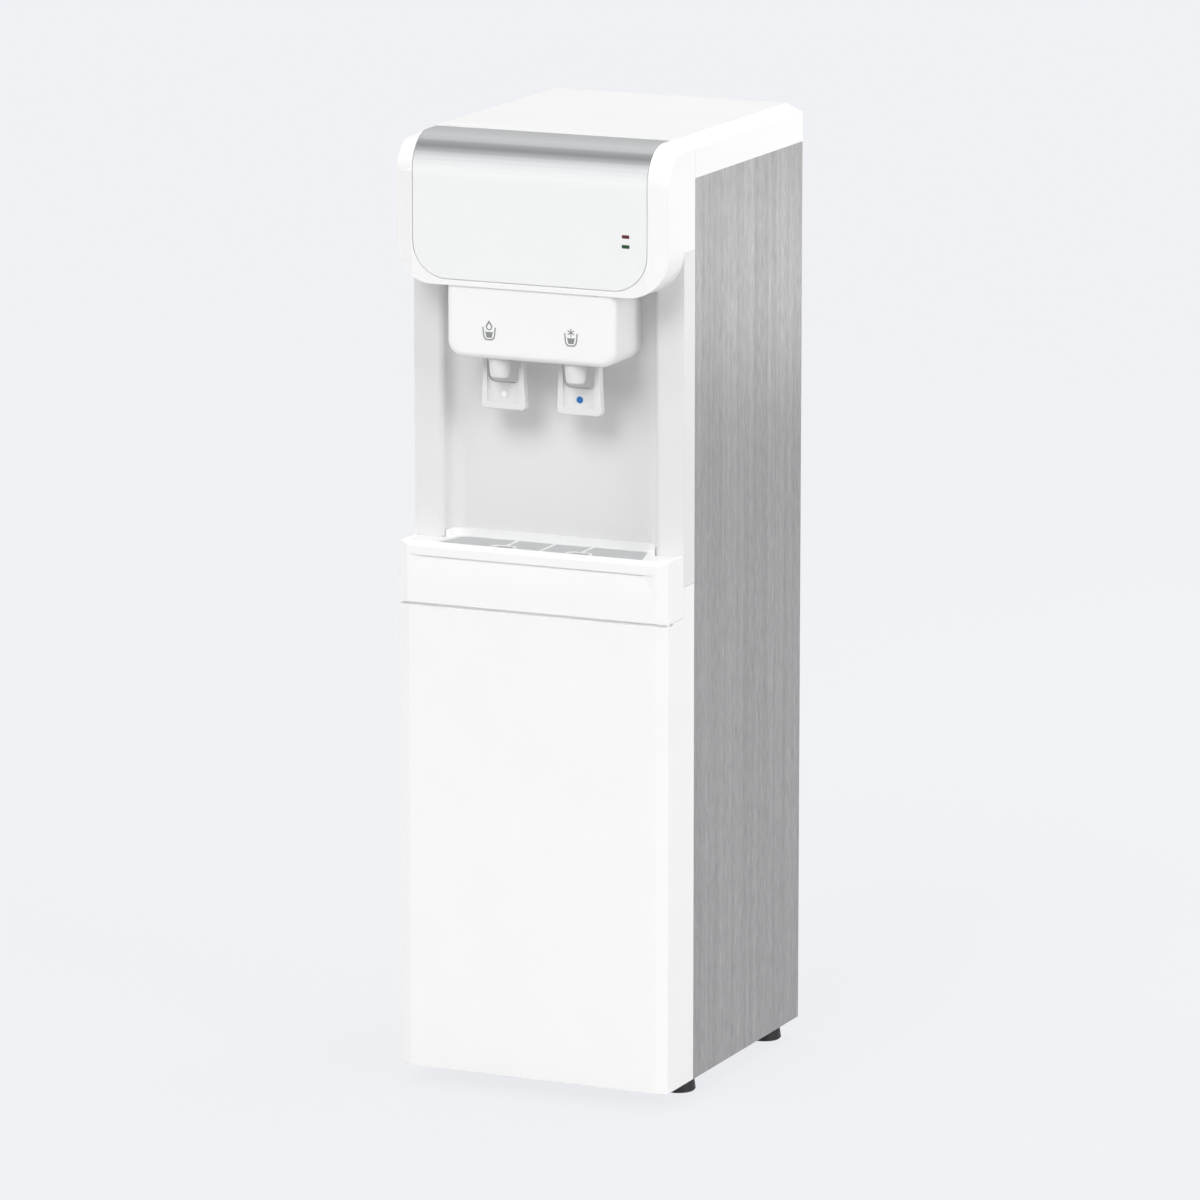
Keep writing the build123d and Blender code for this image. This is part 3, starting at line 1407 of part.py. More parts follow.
with BuildPart() as compressor_grommets:
    with Locations((compressor_x, compressor_y, pan_floor_z)):
        with GridLocations(mount_spread_x, mount_spread_y, 2, 2):
            Cylinder(9, plate_z - pan_floor_z, align=(Align.CENTER, Align.CENTER, Align.MIN))
            Cylinder(mount_stud_radius + 0.1, 60, mode=Mode.SUBTRACT)
keep(compressor_grommets, "compressor_grommets")

relay_x = compressor_x - shell_radius - 1.9
with BuildPart() as compressor_relay:
    block((relay_x - 29, compressor_y - 18, shell_z + 41), (relay_x, compressor_y + 18, shell_z + 91))
    fillet(compressor_relay.faces().sort_by(Axis.X)[0].edges(), 4)
keep(compressor_relay, "compressor_relay")

# Condenser: one serpentine tube with wires welded across it, in the recess behind the rear panel
condenser_y = rear_panel_y + 12
condenser_tube = 2.4
condenser_pitch = 40
condenser_half = half_width - 68
condenser_low_z = bay_top_z + 50
condenser_room = drain_z - 25 - condenser_low_z - condenser_pitch
condenser_passes = 2 * int(condenser_room // (2 * condenser_pitch)) + 2
condenser_high_z = condenser_low_z + condenser_pitch * (condenser_passes - 1)
riser_x = half_width - 38
outlet_riser_x = condenser_half + 15
bay_line_z = bay_top_z - 26
bay_outlet_z = bay_top_z - 12
line_rise = 14
wire_radius = 0.8
wire_count = 25
wire_spread = 2 * (condenser_half - 4)

with BuildPart() as condenser_coil:
    turn = condenser_pitch / 2
    corner = 12
    lean = cos(radians(45))
    with BuildLine():
        FilletPolyline(
            (riser_x, condenser_y, bay_line_z + line_rise),
            (riser_x, condenser_y, condenser_high_z),
            (-condenser_half, condenser_y, condenser_high_z),
            radius=corner,
        )
        for row in range(condenser_passes - 1):
            side = -1 if row % 2 == 0 else 1
            height = condenser_high_z - row * condenser_pitch
            ThreePointArc(
                (side * condenser_half, condenser_y, height),
                (side * (condenser_half + turn), condenser_y, height - turn),
                (side * condenser_half, condenser_y, height - condenser_pitch),
            )
            if row < condenser_passes - 2:
                Line(
                    (side * condenser_half, condenser_y, height - condenser_pitch),
                    (-side * condenser_half, condenser_y, height - condenser_pitch),
                )
        FilletPolyline(
            (-condenser_half, condenser_y, condenser_low_z),
            (outlet_riser_x, condenser_y, condenser_low_z),
            (outlet_riser_x, condenser_y, bay_outlet_z + line_rise),
            radius=corner,
        )
    with BuildSketch(Plane(origin=(riser_x, condenser_y, bay_line_z + line_rise), z_dir=(0, 0, 1))):
        Circle(condenser_tube)
    sweep()
keep(condenser_coil, "condenser_coil")

with BuildPart() as condenser_wires:
    wire_low_z = condenser_low_z - 8
    wire_high_z = condenser_high_z + 8
    wire_offset = condenser_tube + wire_radius + 0.02
    for layer in (-1, 1):
        with BuildSketch(Plane.XY.offset(wire_low_z)):
            with Locations((0, condenser_y + layer * wire_offset)):
                with GridLocations(wire_spread / (wire_count - 1), 1, wire_count, 1):
                    Circle(wire_radius)
        extrude(amount=wire_high_z - wire_low_z)
keep(condenser_wires, "condenser_wires")

clip_x = condenser_half + 2
with BuildPart() as condenser_clips:
    for clip_z in (condenser_low_z + condenser_pitch, condenser_high_z - condenser_pitch):
        for side in (-1, 1):
            outer_x = sorted((side * (clip_x - 5), side * (clip_x - 1)))
            block(
                (outer_x[0], rear_panel_y + sheet_wall, clip_z - 5),
                (outer_x[1], condenser_y + condenser_tube + 2, clip_z + 5),
            )
            rod(
                (side * (clip_x - 8), condenser_y, clip_z),
                (side * (clip_x + 2), condenser_y, clip_z),
                condenser_tube + shaft_gap,
                mode=Mode.SUBTRACT,
            )
keep(condenser_clips, "condenser_clips")

# Refrigerant lines: discharge line, filter drier, capillary and suction line
drier_radius = 9
line_end_x = evaporator_radius + evaporator_tube + 0.3

with BuildPart() as refrigerant_lines:
    add(
        round_tube(
            [
                (discharge_x, discharge_y, line_start_z),
                (discharge_x, discharge_y, bay_line_z),
                (riser_x, discharge_y, bay_line_z),
                (riser_x, condenser_y, bay_line_z),
                (riser_x, condenser_y, bay_line_z + line_rise),
            ],
            9,
            condenser_tube,
        )
    )
    add(
        round_tube(
            [
                (outlet_riser_x, condenser_y, bay_outlet_z + line_rise),
                (outlet_riser_x, condenser_y, bay_outlet_z),
                (outlet_riser_x, bay_outlet_y - 3, bay_outlet_z),
            ],
            9,
            condenser_tube,
        )
    )
    rod((outlet_riser_x, bay_outlet_y, bay_outlet_z), (outlet_riser_x, drier_end_y, bay_outlet_z), drier_radius)
    fillet(refrigerant_lines.edges().filter_by(GeomType.CIRCLE).filter_by(
        lambda edge: abs(edge.radius - drier_radius) < 0.01), 4)
    add(
        round_tube(
            [
                (outlet_riser_x, drier_end_y, bay_outlet_z),
                (outlet_riser_x, capillary_riser_y, bay_outlet_z),
                (capillary_riser_x, capillary_riser_y, bay_outlet_z),
                (capillary_riser_x, capillary_riser_y, line_z[0]),
                (capillary_riser_x, line_y[0], line_z[0]),
                (line_end_x, line_y[0], line_z[0]),
            ],
            5,
            capillary_radius,
        )
    )
    add(
        round_tube(
            [
                (suction_x, suction_y, line_start_z),
                (suction_x, suction_y, bay_top_z + 12),
                (suction_riser_x, suction_y, bay_top_z + 12),
                (suction_riser_x, suction_riser_y, bay_top_z + 12),
                (suction_riser_x, suction_riser_y, line_z[1]),
                (line_end_x, suction_riser_y, line_z[1]),
            ],
            8,
            suction_radius,
        )
    )
keep(refrigerant_lines, "refrigerant_lines")

# Water filters behind the lower cover: bracket, heads and two twist-in cartridges
filter_x = half_width / 3
bracket_z = seam_z - 15
head_radius = 34
filter_head_height = 33
neck_radius = 18
neck_gap = 0.08
cartridge_radius = 36
cartridge_length = 250
tube_radius = 3.2
port_z = bracket_z - 17
port_reach = 12

with BuildPart() as filter_bracket:
    block((-pan_half, pan_front_y + 8, bracket_z), (pan_half, filter_y + 42, bracket_z + 2))
    block((-pan_half, pan_front_y + 8, bracket_z), (pan_half, pan_front_y + 10, bracket_z + 24))
    block((supply_x - 8, filter_y - 10, bracket_z - 1), (pan_half - 3, filter_y + 10, bracket_z + 3), mode=Mode.SUBTRACT)
keep(filter_bracket, "filter_bracket")

with BuildPart() as filter_heads:
    for side in (-1, 1):
        head_x = side * filter_x
        rod((head_x, filter_y, bracket_z - filter_head_height), (head_x, filter_y, bracket_z), head_radius)
        rod(
            (head_x - head_radius - port_reach, filter_y, port_z),
            (head_x + head_radius + port_reach, filter_y, port_z),
            tube_radius + 2,
        )
        rod(
            (head_x, filter_y, bracket_z - filter_head_height - 1),
            (head_x, filter_y, port_z - tube_radius - 4),
            neck_radius + neck_gap,
            mode=Mode.SUBTRACT,
        )
        for end in (-1, 1):
            port_x = head_x + end * (head_radius + port_reach)
            rod(
                (port_x + end, filter_y, port_z),
                (port_x - end * 10, filter_y, port_z),
                tube_radius + shaft_gap,
                mode=Mode.SUBTRACT,
            )
keep(filter_heads, "filter_heads")

neck_top_z = port_z - tube_radius - 4 - 1
cartridge_top_z = bracket_z - filter_head_height - 1
for side, word in ((-1, "left"), (1, "right")):
    head_x = side * filter_x
    with BuildPart() as cartridge:
        rod((head_x, filter_y, cartridge_top_z - cartridge_length), (head_x, filter_y, cartridge_top_z), cartridge_radius)
        fillet(cartridge.edges().sort_by(Axis.Z)[0], 10)
        fillet(cartridge.edges().sort_by(Axis.Z)[-1], 6)
        rod((head_x, filter_y, cartridge_top_z - 1), (head_x, filter_y, neck_top_z), neck_radius)
        with Locations((head_x, filter_y, cartridge_top_z - cartridge_length + 26)):
            with PolarLocations(cartridge_radius, 12):
                Box(3, 5, 28)
    keep(cartridge, f"filter_cartridge_{word}")

# Water inlet, its valve and the cabinet's water tubes
inlet_depth = 18
inlet_end_y = rear_panel_y + 14
valve_y = rear_panel_y - 90

with BuildPart() as water_inlet:
    rod((-service_x, rear_panel_y - 14, inlet_z), (-service_x, inlet_end_y, inlet_z), inlet_radius)
    rod((-service_x, rear_panel_y - 6, inlet_z), (-service_x, rear_panel_y, inlet_z), 12)
    rod((-service_x, rear_panel_y + sheet_wall, inlet_z), (-service_x, rear_panel_y + 6, inlet_z), 12)
    rod(
        (-service_x, inlet_end_y - inlet_depth, inlet_z),
        (-service_x, inlet_end_y + 1, inlet_z),
        tube_radius,
        mode=Mode.SUBTRACT,
    )
    rod(
        (-service_x, rear_panel_y - 15, inlet_z),
        (-service_x, rear_panel_y - 8, inlet_z),
        tube_radius + shaft_gap,
        mode=Mode.SUBTRACT,
    )
keep(water_inlet, "water_inlet")

with BuildPart() as inlet_valve:
    block((-service_x - 14, valve_y - 22, inlet_z - 10), (-service_x + 14, valve_y + 22, inlet_z + 10))
    fillet(inlet_valve.edges().filter_by(Axis.Y), 4)
    rod((-service_x, valve_y, inlet_z + 8), (-service_x, valve_y, inlet_z + 40), 13)
    for end in (-1, 1):
        rod(
            (-service_x, valve_y + end * 23, inlet_z),
            (-service_x, valve_y + end * 12, inlet_z),
            tube_radius + shaft_gap,
            mode=Mode.SUBTRACT,
        )
    block((-half_width + sheet_wall + 0.2, valve_y - 10, inlet_z - 6), (-service_x - 12, valve_y + 10, inlet_z + 6))
keep(inlet_valve, "inlet_valve")

with BuildPart() as water_tubes:
    add(
        round_tube(
            [(-service_x, rear_panel_y - 8.5, inlet_z), (-service_x, valve_y + 12.5, inlet_z)],
            10,
            tube_radius,
        )
    )
    add(
        round_tube(
            [
                (-service_x, valve_y - 12.5, inlet_z),
                (-service_x, filter_y, inlet_z),
                (-service_x, filter_y, port_z),
                (-filter_x - head_radius - port_reach + 9, filter_y, port_z),
            ],
            18,
            tube_radius,
        )
    )
    link_half = filter_x - head_radius - port_reach + 9
    add(round_tube([(-link_half, filter_y, port_z), (link_half, filter_y, port_z)], 10, tube_radius))
    add(
        round_tube(
            [
                (filter_x + head_radius + port_reach - 9, filter_y, port_z),
                (supply_x, filter_y, port_z),
                (supply_x, filter_y, float_valve_z),
                (supply_x, float_barb_y, float_valve_z),
                (spigot_radius + 0.5, float_barb_y, float_valve_z),
            ],
            18,
            tube_radius,
        )
    )
    rod(
        (0, float_barb_y, float_valve_z),
        (barb_length + 1, float_barb_y, float_valve_z),
        barb_radius + shaft_gap,
        mode=Mode.SUBTRACT,
    )
keep(water_tubes, "water_tubes")

# Drain cap on the tank's drain
cap_radius = 9.5
cap_wall = 2.5
with BuildPart() as drain_cap:
    rod((0, rear_panel_y + sheet_wall + 1.5, drain_z), (0, drain_end_y + cap_wall + 0.3, drain_z), cap_radius)
    fillet(drain_cap.edges().sort_by(Axis.Y)[-1], 1)
    rod(
        (0, rear_panel_y, drain_z),
        (0, drain_end_y + 0.3, drain_z),
        drain_radius + shaft_gap,
        mode=Mode.SUBTRACT,
    )
    with Locations(Plane(origin=(0, rear_panel_y + 8.5, drain_z), z_dir=(0, 1, 0))):
        with PolarLocations(cap_radius, 16):
            Box(1.2, 1.2, 9, mode=Mode.SUBTRACT)
keep(drain_cap, "drain_cap")

# Wiring from the power inlet to the relay box
with BuildPart() as wiring_harness:
    add(
        round_tube(
            [
                (power_x, rear_panel_y - 24, power_z - 10),
                (power_x, compressor_y + 10, power_z - 10),
                (power_x, compressor_y + 10, shell_z + 66),
                (relay_x - 29, compressor_y + 10, shell_z + 66),
            ],
            15,
            3,
        )
    )
keep(wiring_harness, "wiring_harness")

# Fasteners: rear panel screws and the compressor's nuts
with BuildPart() as fasteners:
    for side in (-1, 1):
        for height in screw_heights:
            rod(
                (side * screw_x, rear_panel_y - 8, height),
                (side * screw_x, rear_panel_y + sheet_wall + 1, height),
                screw_radius,
            )
            rod(
                (side * screw_x, rear_panel_y + sheet_wall, height),
                (side * screw_x, rear_panel_y + sheet_wall + 2.2, height),
                3.6,
            )
            block(
                (side * screw_x - 2.4, rear_panel_y + sheet_wall + 1, height - 0.5),
                (side * screw_x + 2.4, rear_panel_y + sheet_wall + 3, height + 0.5),
                mode=Mode.SUBTRACT,
            )
    with BuildSketch(Plane.XY.offset(plate_z + plate_wall)):
        with Locations((compressor_x, compressor_y)):
            with GridLocations(mount_spread_x, mount_spread_y, 2, 2):
                RegularPolygon(5.6, 6)
                Circle(mount_stud_radius + 0.02, mode=Mode.SUBTRACT)
    extrude(amount=4.5)
keep(fasteners, "fasteners")

for piece in pieces:
    export_step(piece, f"parts/{piece.label}.step")
print(len(pieces), "pieces")
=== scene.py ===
import bpy
from math import atan2, cos, pi, radians, sin
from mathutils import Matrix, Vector
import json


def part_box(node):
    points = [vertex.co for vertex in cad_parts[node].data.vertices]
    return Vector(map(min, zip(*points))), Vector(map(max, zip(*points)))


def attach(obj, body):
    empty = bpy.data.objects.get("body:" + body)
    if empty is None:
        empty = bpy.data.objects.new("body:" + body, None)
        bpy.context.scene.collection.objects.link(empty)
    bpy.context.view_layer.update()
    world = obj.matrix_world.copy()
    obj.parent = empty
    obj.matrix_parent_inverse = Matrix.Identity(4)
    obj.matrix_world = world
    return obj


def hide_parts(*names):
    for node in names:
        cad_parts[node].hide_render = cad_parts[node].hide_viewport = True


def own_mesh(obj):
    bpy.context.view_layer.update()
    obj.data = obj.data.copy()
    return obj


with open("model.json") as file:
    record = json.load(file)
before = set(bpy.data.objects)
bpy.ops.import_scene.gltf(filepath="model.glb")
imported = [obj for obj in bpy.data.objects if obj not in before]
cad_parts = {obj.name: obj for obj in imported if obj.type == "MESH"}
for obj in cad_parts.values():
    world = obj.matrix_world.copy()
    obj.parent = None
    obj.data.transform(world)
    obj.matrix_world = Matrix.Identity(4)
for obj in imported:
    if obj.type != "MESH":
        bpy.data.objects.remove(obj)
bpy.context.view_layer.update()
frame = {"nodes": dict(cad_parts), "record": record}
cadNodes = frame["nodes"]
mm = 0.001
print("frame loaded:", len(cadNodes), "nodes")

# Camera: right of the front and a little above the middle, through a long lens
view = {
    "azimuth": 24.276,  # degrees round from the front
    "pitch": 11.781,  # degrees down
    "lens": 235.92,  # mm, on a 36 mm sensor
    "place": (3.266421, -7.24412, 2.146931),
}
cameraData = bpy.data.cameras.new("camera")
cameraData.lens = view["lens"]
cameraData.sensor_width = 36
cameraData.clip_end = 200
camera = bpy.data.objects.new("camera", cameraData)
camera.location = view["place"]
camera.rotation_euler = (radians(90 - view["pitch"]), 0, radians(view["azimuth"]))
bpy.context.scene.collection.objects.link(camera)
bpy.context.scene.camera = camera
bpy.context.scene.view_settings.view_transform = "Standard"


def linear(hexColour):  # an sRGB hex colour as linear values
    parts = [int(hexColour[place:place + 2], 16) / 255 for place in (1, 3, 5)]
    return (*[part / 12.92 if part < 0.04045 else ((part + 0.055) / 1.055) ** 2.4 for part in parts], 1)


def addNode(tree, kind, inputs=(), **settings):  # a shader node with its settings, values and links
    made = tree.nodes.new(kind)
    for name, value in settings.items():
        setattr(made, name, value)
    for name, value in dict(inputs).items():
        if isinstance(value, bpy.types.NodeSocket):
            tree.links.new(value, made.inputs[name])
        else:
            made.inputs[name].default_value = value
    return made


def newSurface(name, hexColour, constants):  # a material with its colour and constants on the shader
    material = bpy.data.materials.new(name)
    material.use_nodes = True
    tree = material.node_tree
    shader = tree.nodes["Principled BSDF"]
    shader.inputs["Base Color"].default_value = linear(hexColour)
    for socket, value in constants.items():
        shader.inputs[socket].default_value = value
    return material, tree, shader


def objectPlace(tree, stretch=(1, 1, 1)):  # object coordinates, squeezed or stretched along an axis
    coords = addNode(tree, "ShaderNodeTexCoord")
    inputs = {"Vector": coords.outputs["Object"], "Scale": stretch}
    return addNode(tree, "ShaderNodeMapping", inputs).outputs[0]


def addBump(tree, shader, height, distance):  # relief of that depth in metres
    bump = addNode(tree, "ShaderNodeBump", {"Height": height, "Distance": distance, "Strength": 1.0})
    tree.links.new(bump.outputs[0], shader.inputs["Normal"])


def spread(tree, value, low, high, fromLow=0.0, fromHigh=1.0):  # a pattern's value brought to a range
    inputs = {"Value": value, "From Min": fromLow, "From Max": fromHigh, "To Min": low, "To Max": high}
    return addNode(tree, "ShaderNodeMapRange", inputs).outputs[0]


def tint(tree, factor, darkHex, lightHex):  # two colours mixed by a pattern
    made = addNode(tree, "ShaderNodeMix", {"Factor": factor}, data_type="RGBA")
    made.inputs["A"].default_value = linear(darkHex)
    made.inputs["B"].default_value = linear(lightHex)
    return made.outputs["Result"]


def mouldedAbs(name, darkHex, lightHex):  # moulded ABS, satin: a little uneven in grazing light
    material, tree, shader = newSurface(name, lightHex, {"Roughness": 0.34})
    place = objectPlace(tree)
    texture = addNode(tree, "ShaderNodeTexNoise", {
        "Vector": place, "Scale": 1 / (0.5 * mm), "Detail": 2.0,
    })
    flow = addNode(tree, "ShaderNodeTexNoise", {"Vector": place, "Scale": 1 / (70 * mm), "Detail": 1.0})
    tree.links.new(tint(tree, flow.outputs["Fac"], darkHex, lightHex), shader.inputs["Base Color"])
    tree.links.new(spread(tree, flow.outputs["Fac"], 0.32, 0.36), shader.inputs["Roughness"])
    addBump(tree, shader, texture.outputs["Fac"], 0.006 * mm)
    return material


def silverPrint():  # satin plate, printed silver fading to white below its curve; the darker band over the curve is painted reflection
    material, tree, shader = newSurface("silverPrint", "#F1F2F3", {"Roughness": 0.32})
    place = objectPlace(tree)
    axes = addNode(tree, "ShaderNodeSeparateXYZ", {"Vector": place})
    rise = spread(tree, axes.outputs["Z"], 0.0, 1.0, 0.945, 0.993)  # metres up the body
    ramp = addNode(tree, "ShaderNodeValToRGB", {"Fac": rise})
    ramp.color_ramp.interpolation = "EASE"
    # colour by height: the print fading to white, and over the curve a darker band, lighter again at the
    # top, that paints the curve's reflection and its top light
    printAndReflectionStops = {
        0.0: "#F4F5F5", 0.2: "#F6F7F7", 0.29: "#F1F2F2", 0.38: "#E6E7E8", 0.47: "#D4D5D7", 0.55: "#BABCBE",
        0.63: "#A0A2A4", 0.71: "#8F9193", 0.78: "#989A9C", 0.85: "#B6B8BA", 0.92: "#C8CACC", 1.0: "#CED0D1",
    }
    while len(ramp.color_ramp.elements) < len(printAndReflectionStops):
        ramp.color_ramp.elements.new(0.5)
    for stop, (position, colour) in zip(ramp.color_ramp.elements, printAndReflectionStops.items()):
        stop.position = position
        stop.color = linear(colour)
    fleck = addNode(tree, "ShaderNodeTexNoise", {
        "Vector": place, "Scale": 1 / (0.25 * mm), "Detail": 1.0,
    })
    share = spread(tree, fleck.outputs["Fac"], 0.94, 1.0)
    shaded = addNode(tree, "ShaderNodeMix", {"Factor": share}, data_type="RGBA")
    shaded.inputs["A"].default_value = linear("#9A9C9E")
    tree.links.new(ramp.outputs["Color"], shaded.inputs["B"])
    tree.links.new(shaded.outputs["Result"], shader.inputs["Base Color"])
    tree.links.new(spread(tree, rise, 0.0, 0.35, 0.4, 0.7), shader.inputs["Metallic"])
    addBump(tree, shader, fleck.outputs["Fac"], 0.003 * mm)
    return material


def brushedSteel():  # sheet steel brushed up and down: short upright lines that smear its reflections
    material, tree, shader = newSurface("brushedSteel", "#A6A6A6", {
        "Metallic": 1.0, "Roughness": 0.34, "Anisotropic": 0.4,
    })
    # the real lines are 0.1 mm wide; they are drawn 1.6 mm wide so that they show
    fine = addNode(tree, "ShaderNodeTexNoise", {
        "Vector": objectPlace(tree, (1, 1, 0.09)), "Scale": 1 / (1.6 * mm),
        "Detail": 3.0, "Roughness": 0.65,
    })
    broad = addNode(tree, "ShaderNodeTexNoise", {
        "Vector": objectPlace(tree, (1, 1, 0.015)), "Scale": 1 / (9 * mm), "Detail": 1.0,
    })
    both = {0: 0.3, 2: fine.outputs["Fac"], 3: broad.outputs["Fac"]}  # 0 is the broad lines' share
    grain = addNode(tree, "ShaderNodeMix", both, data_type="FLOAT")
    share = spread(tree, grain.outputs[0], 0.0, 1.0, 0.25, 0.75)
    tree.links.new(tint(tree, share, "#8E8D8D", "#BFBEBD"), shader.inputs["Base Color"])
    tree.links.new(spread(tree, share, 0.38, 0.3), shader.inputs["Roughness"])
    addBump(tree, shader, share, 0.006 * mm)
    return material


def galvanisedSheet():  # hot-dip zinc on sheet steel: dull grey with faint flat spangles
    material, tree, shader = newSurface("galvanisedSheet", "#A9ADB0", {"Metallic": 0.85, "Roughness": 0.45})
    place = objectPlace(tree)
    spangle = addNode(tree, "ShaderNodeTexVoronoi", {
        "Vector": place, "Scale": 1 / (9 * mm), "Randomness": 1.0,
    })
    share = addNode(tree, "ShaderNodeSeparateColor", {"Color": spangle.outputs["Color"]}).outputs["Red"]
    tree.links.new(tint(tree, share, "#989CA0", "#B7BBBE"), shader.inputs["Base Color"])
    tree.links.new(spread(tree, share, 0.38, 0.52), shader.inputs["Roughness"])
    return material


def drawnStainless():  # deep-drawn stainless: brighter, with faint draw lines
    material, tree, shader = newSurface("drawnStainless", "#CDCFD1", {"Metallic": 1.0, "Roughness": 0.24})
    lines = addNode(tree, "ShaderNodeTexNoise", {
        "Vector": objectPlace(tree, (1, 1, 0.1)), "Scale": 1 / (1.2 * mm), "Detail": 2.0,
    })
    tree.links.new(spread(tree, lines.outputs["Fac"], 0.18, 0.32), shader.inputs["Roughness"])
    addBump(tree, shader, lines.outputs["Fac"], 0.004 * mm)
    return material


def blackRubber():  # moulded nitrile rubber: matt, dusty where it is handled
    material, tree, shader = newSurface("blackRubber", "#1B1B1C", {"Roughness": 0.78})
    dust = addNode(tree, "ShaderNodeTexNoise", {
        "Vector": objectPlace(tree), "Scale": 1 / (6 * mm), "Detail": 5.0,
    })
    tree.links.new(tint(tree, dust.outputs["Fac"], "#161617", "#242425"), shader.inputs["Base Color"])
    addBump(tree, shader, dust.outputs["Fac"], 0.02 * mm)
    return material


def blackNylon():  # moulded glass-filled nylon: matt black with a fine grain
    material, tree, shader = newSurface("blackNylon", "#232325", {"Roughness": 0.55})
    place = objectPlace(tree)
    grain = addNode(tree, "ShaderNodeTexNoise", {"Vector": place, "Scale": 1 / (0.6 * mm), "Detail": 3.0})
    wear = addNode(tree, "ShaderNodeTexNoise", {"Vector": place, "Scale": 1 / (12 * mm), "Detail": 4.0})
    tree.links.new(tint(tree, wear.outputs["Fac"], "#1D1D1F", "#2B2B2E"), shader.inputs["Base Color"])
    tree.links.new(spread(tree, wear.outputs["Fac"], 0.48, 0.62), shader.inputs["Roughness"])
    addBump(tree, shader, grain.outputs["Fac"], 0.012 * mm)
    return material


def blueAbs():  # moulded ABS dot: glossy clear blue
    material, tree, shader = newSurface("blueAbs", "#1F6FB5", {"Roughness": 0.22})
    flow = addNode(tree, "ShaderNodeTexNoise", {"Vector": objectPlace(tree), "Scale": 1 / (3 * mm)})
    tree.links.new(tint(tree, flow.outputs["Fac"], "#1B69AE", "#2476BC"), shader.inputs["Base Color"])
    return material


def tintedLens(name, darkHex, lightHex):  # tinted polycarbonate over an unlit lamp: dark, deep and glossy
    material, tree, shader = newSurface(name, darkHex, {"Roughness": 0.12})
    cell = addNode(tree, "ShaderNodeTexVoronoi", {"Vector": objectPlace(tree), "Scale": 1 / (0.8 * mm)})
    tree.links.new(tint(tree, cell.outputs["Distance"], lightHex, darkHex), shader.inputs["Base Color"])
    addBump(tree, shader, cell.outputs["Distance"], 0.02 * mm)
    return material


def circuitBoard():  # solder mask over glass cloth: green with a faint weave
    material, tree, shader = newSurface("circuitBoard", "#1D5A34", {"Roughness": 0.3})
    weave = addNode(tree, "ShaderNodeTexChecker", {
        "Vector": objectPlace(tree), "Scale": 1 / (0.5 * mm),
        "Color1": linear("#1B5531"), "Color2": linear("#216139"),
    })
    tree.links.new(weave.outputs["Color"], shader.inputs["Base Color"])
    return material


def rigidFoam():  # polyurethane foam: cream, matt, with fine open cells at its skin
    material, tree, shader = newSurface("rigidFoam", "#E3D9B8", {"Roughness": 0.9})
    cells = addNode(tree, "ShaderNodeTexVoronoi", {"Vector": objectPlace(tree), "Scale": 1 / (1.5 * mm)})
    tree.links.new(tint(tree, cells.outputs["Distance"], "#D3C79F", "#EBE3C8"), shader.inputs["Base Color"])
    addBump(tree, shader, cells.outputs["Distance"], 0.15 * mm)
    return material


def bareCopper():  # drawn copper tube: warm, with a patchy brown film
    material, tree, shader = newSurface("bareCopper", "#C07A52", {"Metallic": 1.0, "Roughness": 0.3})
    film = addNode(tree, "ShaderNodeTexNoise", {
        "Vector": objectPlace(tree), "Scale": 1 / (14 * mm), "Detail": 5.0,
    })
    tree.links.new(tint(tree, film.outputs["Fac"], "#8F5638", "#D08E66"), shader.inputs["Base Color"])
    tree.links.new(spread(tree, film.outputs["Fac"], 0.42, 0.24), shader.inputs["Roughness"])
    return material


def blackEnamel():  # stoved enamel on steel: glossy black with a slight orange peel
    material, tree, shader = newSurface("blackEnamel", "#141415", {"Roughness": 0.26})
    peel = addNode(tree, "ShaderNodeTexNoise", {
        "Vector": objectPlace(tree), "Scale": 1 / (2.2 * mm), "Detail": 1.0,
    })
    tree.links.new(spread(tree, peel.outputs["Fac"], 0.22, 0.32), shader.inputs["Roughness"])
    addBump(tree, shader, peel.outputs["Fac"], 0.03 * mm)
    return material


def clearSilicone():  # extruded silicone hose: milky, soft sheen
    material, tree, shader = newSurface("clearSilicone", "#DDE1E3", {
        "Roughness": 0.42, "Subsurface Weight": 0.3, "Subsurface Scale": 3 * mm,
    })
    haze = addNode(tree, "ShaderNodeTexNoise", {
        "Vector": objectPlace(tree), "Scale": 1 / (10 * mm), "Detail": 3.0,
    })
    tree.links.new(tint(tree, haze.outputs["Fac"], "#D3D8DB", "#E6EAEC"), shader.inputs["Base Color"])
    return material


def polyTube():  # extruded polyethylene tube: white and waxy
    material, tree, shader = newSurface("polyTube", "#E9EBED", {"Roughness": 0.4})
    lines = addNode(tree, "ShaderNodeTexNoise", {
        "Vector": objectPlace(tree), "Scale": 1 / (5 * mm), "Detail": 2.0,
    })
    tree.links.new(tint(tree, lines.outputs["Fac"], "#E2E5E8", "#F0F2F4"), shader.inputs["Base Color"])
    return material


def naturalPolypropylene():  # moulded polypropylene left its own colour: milky, a little blue
    material, tree, shader = newSurface("naturalPolypropylene", "#D8DEE1", {
        "Roughness": 0.38, "Subsurface Weight": 0.2, "Subsurface Scale": 4 * mm,
    })
    flow = addNode(tree, "ShaderNodeTexNoise", {
        "Vector": objectPlace(tree), "Scale": 1 / (30 * mm), "Detail": 2.0,
    })
    tree.links.new(tint(tree, flow.outputs["Fac"], "#D1D8DC", "#E0E5E8"), shader.inputs["Base Color"])
    return material


def springWire():  # bright-drawn stainless wire
    material, tree, shader = newSurface("springWire", "#D4D5D6", {"Metallic": 1.0, "Roughness": 0.2})
    lines = addNode(tree, "ShaderNodeTexNoise", {"Vector": objectPlace(tree), "Scale": 1 / (0.8 * mm)})
    tree.links.new(spread(tree, lines.outputs["Fac"], 0.15, 0.28), shader.inputs["Roughness"])
    return material


